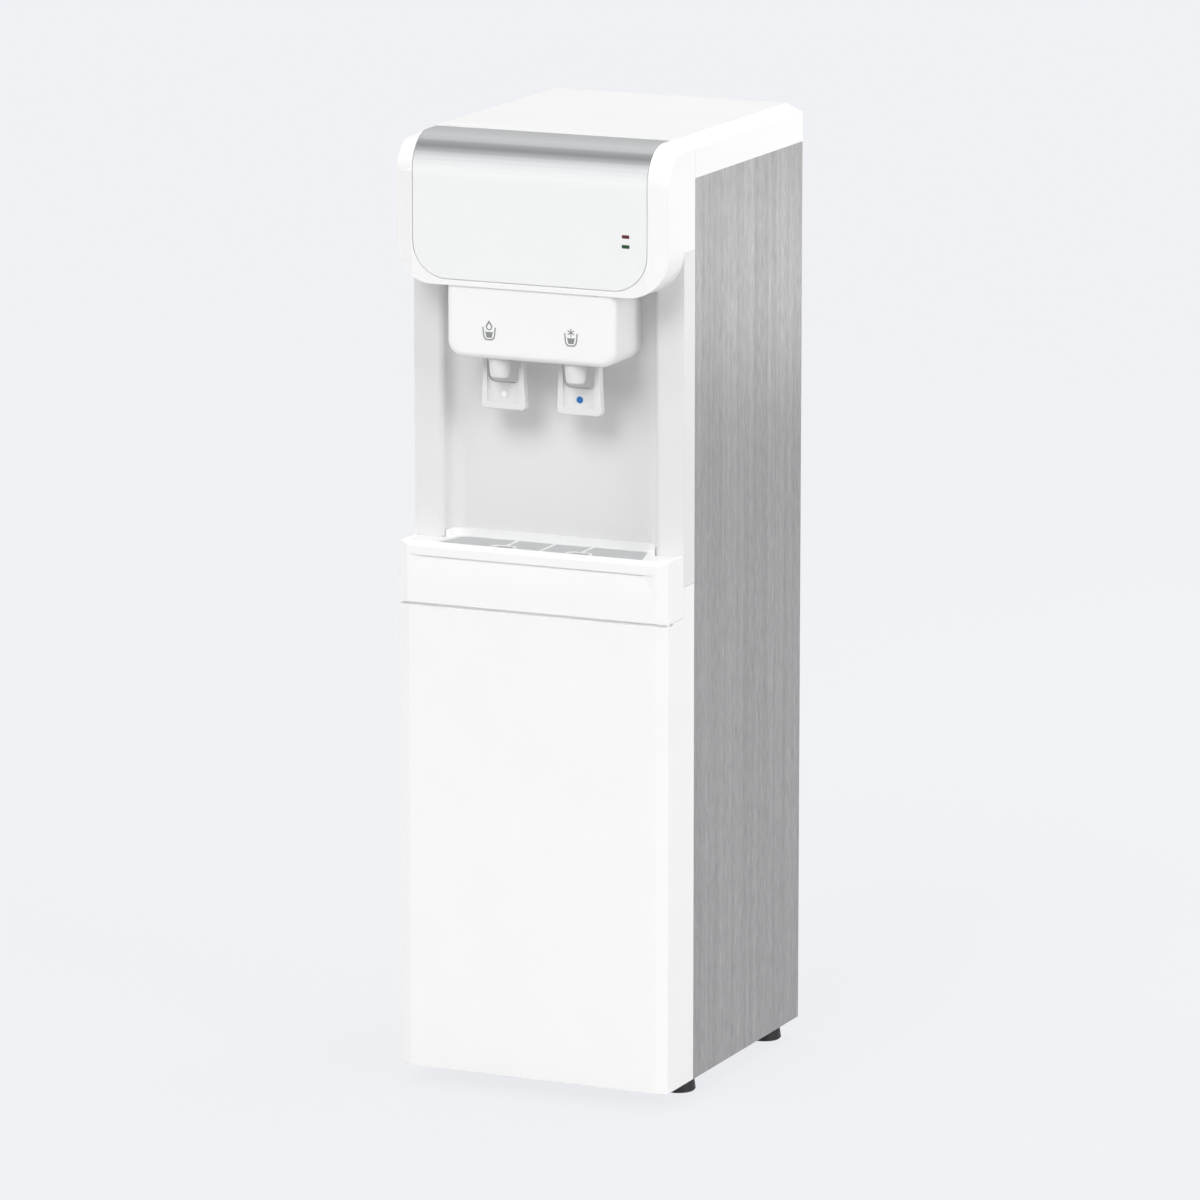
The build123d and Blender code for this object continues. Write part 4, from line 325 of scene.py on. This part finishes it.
finishes = {
    "white_plastic": mouldedAbs("whiteAbs", "#F5F5F5", "#F8F8F8"),
    "silver_plate": silverPrint(),
    "brushed_steel": brushedSteel(),
    "zinc_steel": galvanisedSheet(),
    "stainless": drawnStainless(),
    "black_rubber": blackRubber(),
    "black_plastic": blackNylon(),
    "blue_plastic": blueAbs(),
    "red_lens": tintedLens("redLens", "#3C0C10", "#701C20"),
    "green_lens": tintedLens("greenLens", "#0C2E16", "#1C5C30"),
    "circuit_green": circuitBoard(),
    "foam": rigidFoam(),
    "copper": bareCopper(),
    "black_enamel": blackEnamel(),
    "silicone": clearSilicone(),
    "white_tube": polyTube(),
    "clear_plastic": naturalPolypropylene(),
    "spring_steel": springWire(),
}
for part in frame["record"]["subparts"]:
    cadNodes[part["node"]].material_slots[0].material = finishes[part["material_slot"]]
alcoveShadeWhite = mouldedAbs("softWhiteAbs", "#E5E5E5", "#E8E8E8")  # the alcove, levers and taps are a shade greyer: partly a greyer moulding, partly painted shade under the head
for name in ("alcove_frame", "lever_left", "lever_right", "tap_valve_left", "tap_valve_right"):
    cadNodes[name].material_slots[0].material = alcoveShadeWhite
print("materials:", len(finishes) + 1)

# Moulded and folded edges catch the light, so the outer pieces get small rounds
softEdges = {  # node and its edge radius in mm
    "head_cover": 0.7,
    "fascia_plate": 0.35,
    "top_cover": 0.9,
    "alcove_frame": 0.6,
    "tap_housing": 0.6,
    "drip_tray": 0.35,
    "lower_cover": 0.3,
    "lever_left": 0.4,
    "lever_right": 0.4,
    "side_panel_left": 0.3,
    "side_panel_right": 0.3,
    "rear_panel": 0.3,
    "base_pan": 0.4,
    "tap_valve_left": 0.3,
    "tap_valve_right": 0.3,
}
rounding = {
    "weld": 0.005,  # mm
    "flat": 0.4,  # degrees, under which neighbouring faces become one
    "sharp": 28,  # degrees, over which an edge gets its round
    "segments": 3,
    "weight": 60,
}
for name, radius in softEdges.items():
    node = cadNodes[name]
    weld = node.modifiers.new("weld", "WELD")
    weld.merge_threshold = rounding["weld"] * mm
    flatten = node.modifiers.new("flatten", "DECIMATE")
    flatten.decimate_type = "DISSOLVE"
    flatten.angle_limit = radians(rounding["flat"])
    edges = node.modifiers.new("edges", "BEVEL")
    edges.width = radius * mm
    edges.segments = rounding["segments"]
    edges.limit_method = "ANGLE"
    edges.angle_limit = radians(rounding["sharp"])
    edges.use_clamp_overlap = True
    shade = node.modifiers.new("shade", "WEIGHTED_NORMAL")
    shade.weight = rounding["weight"]
    shade.keep_sharp = True
print("soft edges:", len(softEdges))


def onlyPick(made):  # one object selected and active, and nothing else
    bpy.ops.object.select_all(action="DESELECT")
    made.select_set(True)
    bpy.context.view_layer.objects.active = made


def pickFaces(made, wanted):  # the faces that pass a test selected, in edit mode
    bpy.ops.object.mode_set(mode="EDIT")
    bpy.ops.mesh.select_mode(type="FACE")
    bpy.ops.mesh.select_all(action="DESELECT")
    bpy.ops.object.mode_set(mode="OBJECT")
    for face in made.data.polygons:
        face.select = wanted(face)
    bpy.ops.object.mode_set(mode="EDIT")


def settle(made, name, surface, body):  # place applied, surface given, and riding on its body
    onlyPick(made)
    bpy.ops.object.transform_apply(location=True, rotation=True, scale=True)
    made.name = name
    made.data.name = name
    made.data.materials.clear()
    made.data.materials.append(surface)
    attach(made, body)


def applyAll(made):
    onlyPick(made)
    for modifier in list(made.modifiers):
        bpy.ops.object.modifier_apply(modifier=modifier.name)


def softenEdges(made, width):  # a small round on every sharp edge, applied
    soft = made.modifiers.new("soft", "BEVEL")
    soft.width = width * mm
    soft.segments = 2
    applyAll(made)


# Drip plate: a thin moulded plate with rows of small square holes and an opening under each nozzle
dripPlate = {  # mm
    "pitch": 3.0,
    "wall": 0.78,  # from a cell's edge to its hole
    "columns": 80,
    "rows": 18,
    "front": -163.1,
    "rear": -109.8,
    "frontHalf": 117.6,
    "rearHalf": 102.6,
    "corner": 12.0,
    "top": 568.4,
    "thickness": 3.0,
    "openingX": 42.0,
    "openingY": -151.1,
    "openingSize": (24.0, 18.0),
    "cornerCuts": 4,
    "rimMargin": 3.0,  # round an opening, without holes
    "ribMargin": 2.0,  # on either side of the middle rib, without holes
    "ribWidth": 2.0,
    "ribRise": 0.9,
    "ribInset": 1.6,  # from the plate's front and rear edges
    "rimCorner": 4.5,
    "rimDepth": 1.0,
    "rimSoft": 0.35,
}


def paleGreyAbs():  # moulded ABS, pale grey and matt, with a fine spark-eroded grain
    material, tree, shader = newSurface("paleGreyAbs", "#C9CBCC", {"Roughness": 0.55})
    place = objectPlace(tree)
    grain = addNode(tree, "ShaderNodeTexNoise", {"Vector": place, "Scale": 1 / (0.7 * mm), "Detail": 3.0})
    tree.links.new(tint(tree, grain.outputs["Fac"], "#C2C4C5", "#CFD1D2"), shader.inputs["Base Color"])
    addBump(tree, shader, grain.outputs["Fac"], 0.02 * mm)
    return material


width = dripPlate["columns"] * dripPlate["pitch"]
depth = dripPlate["rows"] * dripPlate["pitch"]
bpy.ops.object.select_all(action="DESELECT")
bpy.ops.mesh.primitive_grid_add(
    x_subdivisions=dripPlate["columns"], y_subdivisions=dripPlate["rows"], size=1,
    location=(0, (dripPlate["front"] + depth / 2) * mm, dripPlate["top"] * mm),
)
plate = bpy.context.object
plate.scale = (width * mm, depth * mm, 1)
bpy.ops.object.transform_apply(location=True, rotation=True, scale=True)
bpy.ops.object.mode_set(mode="EDIT")
run = Vector((dripPlate["frontHalf"] - dripPlate["rearHalf"], dripPlate["rear"] - dripPlate["front"]))
lean = atan2(run.x, run.y)  # of the side edges, from straight back
cornerRound = dripPlate["corner"]
for side in (-1, 1):
    centreY = dripPlate["rear"] - cornerRound
    fromFront = centreY - dripPlate["front"]
    centreX = dripPlate["frontHalf"] - (cornerRound + fromFront * sin(lean)) / cos(lean)
    for step in range(dripPlate["cornerCuts"] + 1):  # the slanted side, round the corner, and the rear edge
        turn = lean + (pi / 2 - lean) * step / dripPlate["cornerCuts"]
        outwards = Vector((side * cos(turn), sin(turn), 0))
        cut = Vector((side * centreX, centreY, dripPlate["top"])) + outwards * cornerRound
        bpy.ops.mesh.select_all(action="SELECT")
        bpy.ops.mesh.bisect(plane_co=cut * mm, plane_no=outwards, clear_outer=True, threshold=0.01 * mm)
bpy.ops.object.mode_set(mode="OBJECT")


def inOpening(face, margin=0.0):  # a cell in an opening, or within that margin of it
    offX = abs(abs(face.center.x) - dripPlate["openingX"] * mm)
    offY = abs(face.center.y - dripPlate["openingY"] * mm)
    openingWidth, openingDepth = dripPlate["openingSize"]
    return offX < (openingWidth / 2 + margin) * mm and offY < (openingDepth / 2 + margin) * mm


def perforated(face):  # a whole cell, away from the middle rib and from the rims of the openings
    whole = face.area > 0.99 * (dripPlate["pitch"] * mm) ** 2
    byRib = abs(face.center.x) <= dripPlate["ribMargin"] * mm
    return whole and not byRib and not inOpening(face, dripPlate["rimMargin"])


pickFaces(plate, inOpening)
bpy.ops.mesh.delete(type="FACE")
bpy.ops.object.mode_set(mode="OBJECT")
pickFaces(plate, perforated)
bpy.ops.mesh.inset(thickness=dripPlate["wall"] * mm, use_individual=True, use_boundary=True)
bpy.ops.mesh.delete(type="FACE")
bpy.ops.object.mode_set(mode="OBJECT")
walls = plate.modifiers.new("walls", "SOLIDIFY")
walls.thickness = dripPlate["thickness"] * mm
walls.offset = -1
applyAll(plate)
settle(plate, "dripPlate", paleGreyAbs(), "drip_grille")
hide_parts("drip_grille")
print("drip plate:", len(plate.data.polygons), "faces")

# Its ribs, and an eight-sided rim round each opening
ribPieces = []
for side in (-1, 1):
    bpy.ops.object.select_all(action="DESELECT")
    bpy.ops.mesh.primitive_plane_add(size=1, location=(
        side * dripPlate["openingX"] * mm,
        dripPlate["openingY"] * mm,
        (dripPlate["top"] - dripPlate["rimDepth"]) * mm,
    ))
    rim = bpy.context.object
    rim.scale = [(size + 2 * dripPlate["ribWidth"]) * mm for size in dripPlate["openingSize"]] + [1]
    bpy.ops.object.transform_apply(location=True, rotation=True, scale=True)
    bpy.ops.object.mode_set(mode="EDIT")
    bpy.ops.mesh.select_all(action="SELECT")
    bpy.ops.mesh.bevel(offset=dripPlate["rimCorner"] * mm, affect="VERTICES")
    bpy.ops.mesh.select_all(action="SELECT")
    bpy.ops.mesh.inset(thickness=dripPlate["ribWidth"] * mm)
    bpy.ops.mesh.delete(type="FACE")
    bpy.ops.mesh.select_all(action="SELECT")
    rimHeight = (dripPlate["rimDepth"] + dripPlate["ribRise"]) * mm
    bpy.ops.mesh.extrude_region_move(TRANSFORM_OT_translate={"value": (0, 0, rimHeight)})
    bpy.ops.mesh.select_all(action="SELECT")
    bpy.ops.mesh.normals_make_consistent(inside=False)
    bpy.ops.object.mode_set(mode="OBJECT")
    ribPieces.append(rim)
ribRear = dripPlate["rear"] - dripPlate["ribInset"]
openingRear = dripPlate["openingY"] + (dripPlate["openingSize"][1] + dripPlate["ribWidth"]) / 2
ribFronts = {  # where each rib starts, by its place across the plate
    -dripPlate["openingX"]: openingRear,
    0: dripPlate["front"] + dripPlate["ribInset"],
    dripPlate["openingX"]: openingRear,
}
for ribX, ribFront in ribFronts.items():
    bpy.ops.object.select_all(action="DESELECT")
    bpy.ops.mesh.primitive_cube_add(
        size=1, location=(ribX * mm, (ribFront + ribRear) / 2 * mm, dripPlate["top"] * mm),
    )
    rib = bpy.context.object
    rib.scale = (dripPlate["ribWidth"] * mm, (ribRear - ribFront) * mm, 2 * dripPlate["ribRise"] * mm)
    bpy.ops.object.transform_apply(location=True, rotation=True, scale=True)
    ribPieces.append(rib)
onlyPick(ribPieces[0])
for rib in ribPieces:
    rib.select_set(True)
bpy.ops.object.join()
rims = bpy.context.object
softenEdges(rims, dripPlate["rimSoft"])
settle(rims, "dripRims", finishes["white_plastic"], "drip_grille")
print("drip rims:", len(rims.data.polygons), "faces")

# Marks printed over the taps: a drop and a flake, each over a cup
tapMarks = {  # mm
    "centreX": 45.3,
    "height": 795.0,
    "face": -173.0,
    "ink": 0.05,
    "dropWidth": 7.3,
    "dropPoint": 1.42,  # the drop's height, in widths
    "dropTurns": (-214, 34),  # degrees, from one end of its round part to the other
    "dropRise": 1.0,
    "hollowSize": 0.6,  # of the drop
    "hollowRise": 1.168,
    "flakeRise": 4.9,
    "flakeRadius": 4.1,
    "flakeNotch": 1.15,
    "flakeTurn": 8,  # degrees, half of a bar at its end
}


def greyInk():  # pad-printed ink: thin, even grey with a slightly broken edge
    material, tree, shader = newSurface("greyInk", "#8B8D8F", {"Roughness": 0.5})
    mottle = addNode(tree, "ShaderNodeTexNoise", {
        "Vector": objectPlace(tree), "Scale": 1 / (0.4 * mm), "Detail": 2.0,
    })
    tree.links.new(tint(tree, mottle.outputs["Fac"], "#7E8082", "#98999B"), shader.inputs["Base Color"])
    return material


def flatMark(name, outlines, ink):  # a filled flat shape, lying in its own plane, as a mesh
    drawn = bpy.data.curves.new(name, "CURVE")
    drawn.dimensions = "2D"
    drawn.fill_mode = "BOTH"
    drawn.extrude = ink / 2 * mm
    for outline in outlines:
        line = drawn.splines.new("POLY")
        line.points.add(len(outline) - 1)
        for point, (x, y) in zip(line.points, outline):
            point.co = (x * mm, y * mm, 0, 1)
        line.use_cyclic_u = True
    mark = bpy.data.objects.new(name, drawn)
    bpy.context.scene.collection.objects.link(mark)
    onlyPick(mark)
    bpy.ops.object.convert(target="MESH")
    return bpy.context.object


def dropOutline(width):  # a point at the top, run into a round below it
    first, last = tapMarks["dropTurns"]
    outline = [(0, tapMarks["dropPoint"] * width)]
    for step in range(17):
        turn = radians(first + (last - first) * step / 16)
        outline.append((-width / 2 * cos(turn), width / 2 + width / 2 * sin(turn)))
    return outline


cupOutline = [
    (-7.5, 4.2), (-6.9, -3.5), (-5.9, -7.0), (-3.6, -9.2),
    (3.6, -9.2), (5.9, -7.0), (6.9, -3.5), (7.5, 4.2),
    (6.1, 4.2), (5.5, -3.2), (4.8, -6.0), (3.0, -7.8),
    (-3.0, -7.8), (-4.8, -6.0), (-5.5, -3.2), (-6.1, 4.2),
]
waterOutline = [(-4.3, 0.0), (-1.7, -1.0), (0, -0.2), (1.7, -1.0), (4.3, 0.0), (2.9, -6.6), (-2.9, -6.6)]
dropLine = dropOutline(tapMarks["dropWidth"])
hollowSize = tapMarks["hollowSize"]
hollowLine = [(x * hollowSize, y * hollowSize + tapMarks["hollowRise"]) for x, y in dropLine]
dropShape = [[(x, y + tapMarks["dropRise"]) for x, y in line] for line in (dropLine, hollowLine)]
flakeShape = [[]]
flakeTurn = tapMarks["flakeTurn"]
for step in range(6):  # a bar for each ray, and the notch after it
    for reach, turn in (("flakeRadius", -flakeTurn), ("flakeRadius", flakeTurn), ("flakeNotch", 30)):
        radius, turn = tapMarks[reach], radians(60 * step + turn)
        flakeShape[0].append((radius * sin(turn), tapMarks["flakeRise"] + radius * cos(turn)))
markInk = greyInk()
for side, name, top in ((-1, "dropMark", dropShape), (1, "flakeMark", flakeShape)):
    mark = flatMark(name, top + [cupOutline, waterOutline], tapMarks["ink"])
    mark.rotation_euler = (pi / 2, 0, 0)
    markY = tapMarks["face"] - tapMarks["ink"] / 2
    mark.location = Vector((side * tapMarks["centreX"], markY, tapMarks["height"])) * mm
    settle(mark, name, markInk, "cabinet")
print("tap marks: 2")

# Rib moulded along the lower cover's top edge, inside its chamfer: it closes the seam under the tray
coverRib = {  # mm
    "bottom": 502.8,
    "top": 507.9,
    "outer": [(147.5, -156.0), (147.5, -164.0), (135.5, -167.5)],  # on the right, from the rear
    "inner": [(146.3, -156.0), (146.3, -162.8), (135.5, -166.3)],
    "soft": 0.25,
}
ribOuter, ribInner = coverRib["outer"], coverRib["inner"]
ribLine = ribOuter + [(-x, y) for x, y in reversed(ribOuter)]
ribLine += [(-x, y) for x, y in ribInner] + ribInner[::-1]
rib = flatMark("coverRib", [ribLine], coverRib["top"] - coverRib["bottom"])
rib.location.z = (coverRib["bottom"] + coverRib["top"]) / 2 * mm
softenEdges(rib, coverRib["soft"])
settle(rib, "coverRib", finishes["white_plastic"], "cabinet")
print("cover rib: 1")

# Bright dot on the left lever, over the one moulded in it
leverDot = {"radius": 3.1, "rise": 0.25, "thickness": 0.6, "soft": 0.2}  # mm


def glossPaint():  # tampo-printed paint under a clear coat: the brightest white on the machine
    material, tree, shader = newSurface("glossPaint", "#FFFFFF", {"Roughness": 0.2, "Coat Weight": 0.5})
    flow = addNode(tree, "ShaderNodeTexNoise", {"Vector": objectPlace(tree), "Scale": 1 / (2 * mm)})
    tree.links.new(tint(tree, flow.outputs["Fac"], "#FCFCFC", "#FFFFFF"), shader.inputs["Base Color"])
    return material


markPaint = glossPaint()
low, high = [Vector(corner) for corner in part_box("cold_badge")]  # the right lever's dot, mirrored
dotY = low.y + (leverDot["thickness"] / 2 - leverDot["rise"]) * mm
bpy.ops.object.select_all(action="DESELECT")
bpy.ops.mesh.primitive_cylinder_add(
    vertices=32, radius=leverDot["radius"] * mm, depth=leverDot["thickness"] * mm, rotation=(pi / 2, 0, 0),
    location=(-(low.x + high.x) / 2, dotY, (low.z + high.z) / 2),
)
dot = bpy.context.object
softenEdges(dot, leverDot["soft"])
settle(dot, "leverDot", markPaint, "lever_left")
print("lever dot: 1")

# Marks at the rear: numbers and a pointer on the thermostat's knob, an index by it, I and O on the rocker
rearMarks = {  # mm
    "ink": 0.05,
    "indexPlace": (122.0, 151.0, 914.5),
    "indexSize": (1.4, 4.0),
    "numbersPlace": (122.0, 157.5, 900.0),
    "numberRadius": 7.2,
    "numberHeight": 3.6,
    "numberTurns": (45, 90, 135, 225, 270, 315),  # degrees round from the top, clear of the grip
    "pointerPlace": (122.0, 163.5, 895.2),
    "pointerSize": (1.2, 7.0),
    "rockerPlace": (-115.0, 150.0, 316.0),
    "rockerTilt": 8,  # degrees
    "rockerHollow": 7.7,  # degrees that the dished face turns at its marks
    "rockerFace": 1.94,
    "rockerReach": 5.0,
    "onSize": (0.9, 3.8),
    "offRadii": (2.0, 1.3),
}


def darkInk():  # screen-printed enamel ink on the rear sheet
    material, tree, shader = newSurface("darkInk", "#2C2E30", {"Roughness": 0.45})
    mottle = addNode(tree, "ShaderNodeTexNoise", {
        "Vector": objectPlace(tree), "Scale": 1 / (0.5 * mm), "Detail": 2.0,
    })
    tree.links.new(tint(tree, mottle.outputs["Fac"], "#242628", "#383A3C"), shader.inputs["Base Color"])
    return material


def barOutline(width, height):  # an upright bar about its middle
    return [(x * width / 2, y * height / 2) for x, y in ((-1, -1), (1, -1), (1, 1), (-1, 1))]


def ringOutlines(outer, inner):
    turns = [2 * pi * step / 24 for step in range(24)]
    return [[(radius * cos(turn), radius * sin(turn)) for turn in turns] for radius in (outer, inner)]


def faceRear(mark, place, tilt=0.0):  # the mark is read from behind, on a face turned down by tilt
    mark.rotation_euler = (pi / 2 + tilt, 0, pi)
    mark.location = (Vector(place) + Vector((0, cos(tilt), -sin(tilt))) * rearMarks["ink"] / 2) * mm


numbers = []
for number, turn in enumerate(rearMarks["numberTurns"], 1):
    turn = radians(turn)
    bpy.ops.object.select_all(action="DESELECT")
    bpy.ops.object.text_add(rotation=(0, 0, -turn), location=(
        rearMarks["numberRadius"] * sin(turn) * mm, rearMarks["numberRadius"] * cos(turn) * mm, 0,
    ))
    digit = bpy.context.object
    digit.data.body = str(number)
    digit.data.align_x = "CENTER"
    digit.data.align_y = "CENTER"
    digit.data.size = rearMarks["numberHeight"] * mm
    digit.data.extrude = rearMarks["ink"] / 2 * mm
    bpy.ops.object.convert(target="MESH")
    bpy.ops.object.transform_apply(location=True, rotation=True, scale=True)
    numbers.append(bpy.context.object)
for digit in numbers:
    digit.select_set(True)
bpy.ops.object.join()
faceRear(bpy.context.object, rearMarks["numbersPlace"])
settle(bpy.context.object, "knobNumbers", markPaint, "thermostat_knob")
index = flatMark("knobIndex", [barOutline(*rearMarks["indexSize"])], rearMarks["ink"])
faceRear(index, rearMarks["indexPlace"])
settle(index, "knobIndex", darkInk(), "cabinet")
pointer = flatMark("knobPointer", [barOutline(*rearMarks["pointerSize"])], rearMarks["ink"])
faceRear(pointer, rearMarks["pointerPlace"])
settle(pointer, "knobPointer", markPaint, "thermostat_knob")
tilt = radians(rearMarks["rockerTilt"])
signs = []
onSign, offSign = [barOutline(*rearMarks["onSize"])], ringOutlines(*rearMarks["offRadii"])
for side, outlines in ((1, onSign), (-1, offSign)):
    sign = flatMark("rockerMarks", outlines, rearMarks["ink"])
    reach = side * rearMarks["rockerReach"]
    place = Vector(rearMarks["rockerPlace"]) + Vector((
        0,
        rearMarks["rockerFace"] * cos(tilt) + reach * sin(tilt),
        reach * cos(tilt) - rearMarks["rockerFace"] * sin(tilt),
    ))
    faceRear(sign, place, tilt + side * radians(rearMarks["rockerHollow"]))
    signs.append(sign)
signs[0].select_set(True)
bpy.ops.object.join()
settle(bpy.context.object, "rockerMarks", markPaint, "power_rocker")
print("rear marks: 4")

# Return springs: wound wire, one in place of each valve spring
valveSprings = {  # mm
    "turns": 4,
    "wireRadius": 0.7,
    "steps": 28,  # in each turn
    "travel": 2.6179,  # the stem's own
}
for word in ("left", "right"):
    low, high = [Vector(corner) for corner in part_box(f"valve_spring_{word}")]
    wire = valveSprings["wireRadius"] * mm
    bpy.ops.object.select_all(action="DESELECT")
    bpy.ops.mesh.primitive_circle_add(
        vertices=10, radius=wire, rotation=(pi / 2, 0, 0), location=((high.x - low.x) / 2 - wire, 0, 0),
    )
    spring = bpy.context.object
    bpy.ops.object.transform_apply(location=True, rotation=True, scale=True)
    winding = spring.modifiers.new("winding", "SCREW")
    winding.iterations = valveSprings["turns"]
    winding.screw_offset = (high.z - low.z - 2 * wire) / valveSprings["turns"]
    winding.steps = winding.render_steps = valveSprings["steps"]
    applyAll(spring)
    bpy.ops.object.mode_set(mode="EDIT")
    bpy.ops.mesh.select_all(action="SELECT")
    bpy.ops.mesh.fill_holes(sides=0)
    bpy.ops.mesh.select_all(action="SELECT")
    bpy.ops.mesh.normals_make_consistent(inside=False)
    bpy.ops.object.mode_set(mode="OBJECT")
    spring.location = ((low.x + high.x) / 2, (low.y + high.y) / 2, low.z + wire)
    settle(spring, f"valveSpring_{word}", finishes["spring_steel"], "cabinet")
    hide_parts(f"valve_spring_{word}")
    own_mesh(spring)
print("valve springs: 2")

# Studio: an even pale floor and sky, soft suns from four sides, and two softboxes behind
studio = {
    "backdrop": "#F4F5F9",
    "sky": 0.32,
    "floorColour": "#C0C0C0",
    "floorSize": 120,
    "floorShare": 0.12,  # how much of the floor's own shading the camera sees
    "suns": {
        "top": {"energy": 1.28, "angle": 40, "turn": (-8, 0, 0)},
        "front": {"energy": 1.4, "angle": 30, "turn": (48, 0, -6)},
        "right": {"energy": 1.08, "angle": 30, "turn": (72, 0, 72)},
        "left": {"energy": 0.55, "angle": 40, "turn": (70, 0, -60)},
    },
    "boxes": {
        "rear": {
            "energy": 26, "width": 0.9, "height": 0.9,
            "place": (1.45, 2.5, 1.4), "aim": (0.15, 0.0, 0.75),
        },
        "steel": {
            "energy": 0.3, "width": 0.5, "height": 0.25,
            "place": (0.75, 1.3, 0.62), "aim": (0.15, 0.0, 0.94),
        },
    },
}
bpy.ops.object.select_all(action="DESELECT")
bpy.ops.mesh.primitive_plane_add(size=studio["floorSize"], location=(0, 0, 0))
floor = bpy.context.object
floor.name = "floor"


def paleFloor():  # painted studio floor: as pale as the backdrop, and it keeps a weak shadow
    material, tree, shader = newSurface("paleFloor", studio["floorColour"], {"Roughness": 0.9})
    rays = addNode(tree, "ShaderNodeLightPath")
    seen = rays.outputs["Is Camera Ray"]
    for kind in ("Is Glossy Ray", "Is Transmission Ray"):
        larger = addNode(tree, "ShaderNodeMath", {0: seen, 1: rays.outputs[kind]}, operation="MAXIMUM")
        seen = larger.outputs[0]
    share = spread(tree, seen, 0.0, 1 - studio["floorShare"])
    pale = addNode(tree, "ShaderNodeEmission", {"Color": linear(studio["backdrop"])})
    mixed = addNode(tree, "ShaderNodeMixShader", {"Fac": share})
    tree.links.new(shader.outputs[0], mixed.inputs[1])
    tree.links.new(pale.outputs[0], mixed.inputs[2])
    tree.links.new(mixed.outputs[0], tree.nodes["Material Output"].inputs["Surface"])
    return material


floor.data.materials.append(paleFloor())

world = bpy.data.worlds.new("sky")
bpy.context.scene.world = world
world.use_nodes = True
skyTree = world.node_tree
skyTree.nodes.clear()
rays = addNode(skyTree, "ShaderNodeLightPath")
skyLight = addNode(skyTree, "ShaderNodeBackground", {"Color": linear("#FFFFFF"), "Strength": studio["sky"]})
skySeen = addNode(skyTree, "ShaderNodeBackground", {"Color": linear(studio["backdrop"]), "Strength": 1.0})
skyMix = addNode(skyTree, "ShaderNodeMixShader", {"Fac": rays.outputs["Is Camera Ray"]})
skyTree.links.new(skyLight.outputs[0], skyMix.inputs[1])
skyTree.links.new(skySeen.outputs[0], skyMix.inputs[2])
addNode(skyTree, "ShaderNodeOutputWorld", {"Surface": skyMix.outputs[0]})
for name, sun in studio["suns"].items():
    sunData = bpy.data.lights.new(name, "SUN")
    sunData.energy = sun["energy"]
    sunData.angle = radians(sun["angle"])
    lamp = bpy.data.objects.new(name, sunData)
    lamp.rotation_euler = [radians(turn) for turn in sun["turn"]]
    bpy.context.scene.collection.objects.link(lamp)
for name, box in studio["boxes"].items():
    boxData = bpy.data.lights.new(name, "AREA")
    boxData.shape = "RECTANGLE"
    boxData.energy = box["energy"]
    boxData.size = box["width"]
    boxData.size_y = box["height"]
    softbox = bpy.data.objects.new(name, boxData)
    softbox.location = box["place"]
    softbox.rotation_euler = (Vector(box["aim"]) - Vector(box["place"])).to_track_quat("-Z", "Y").to_euler()
    softbox.visible_camera = False  # it stays out of the picture
    bpy.context.scene.collection.objects.link(softbox)
print("studio lit")
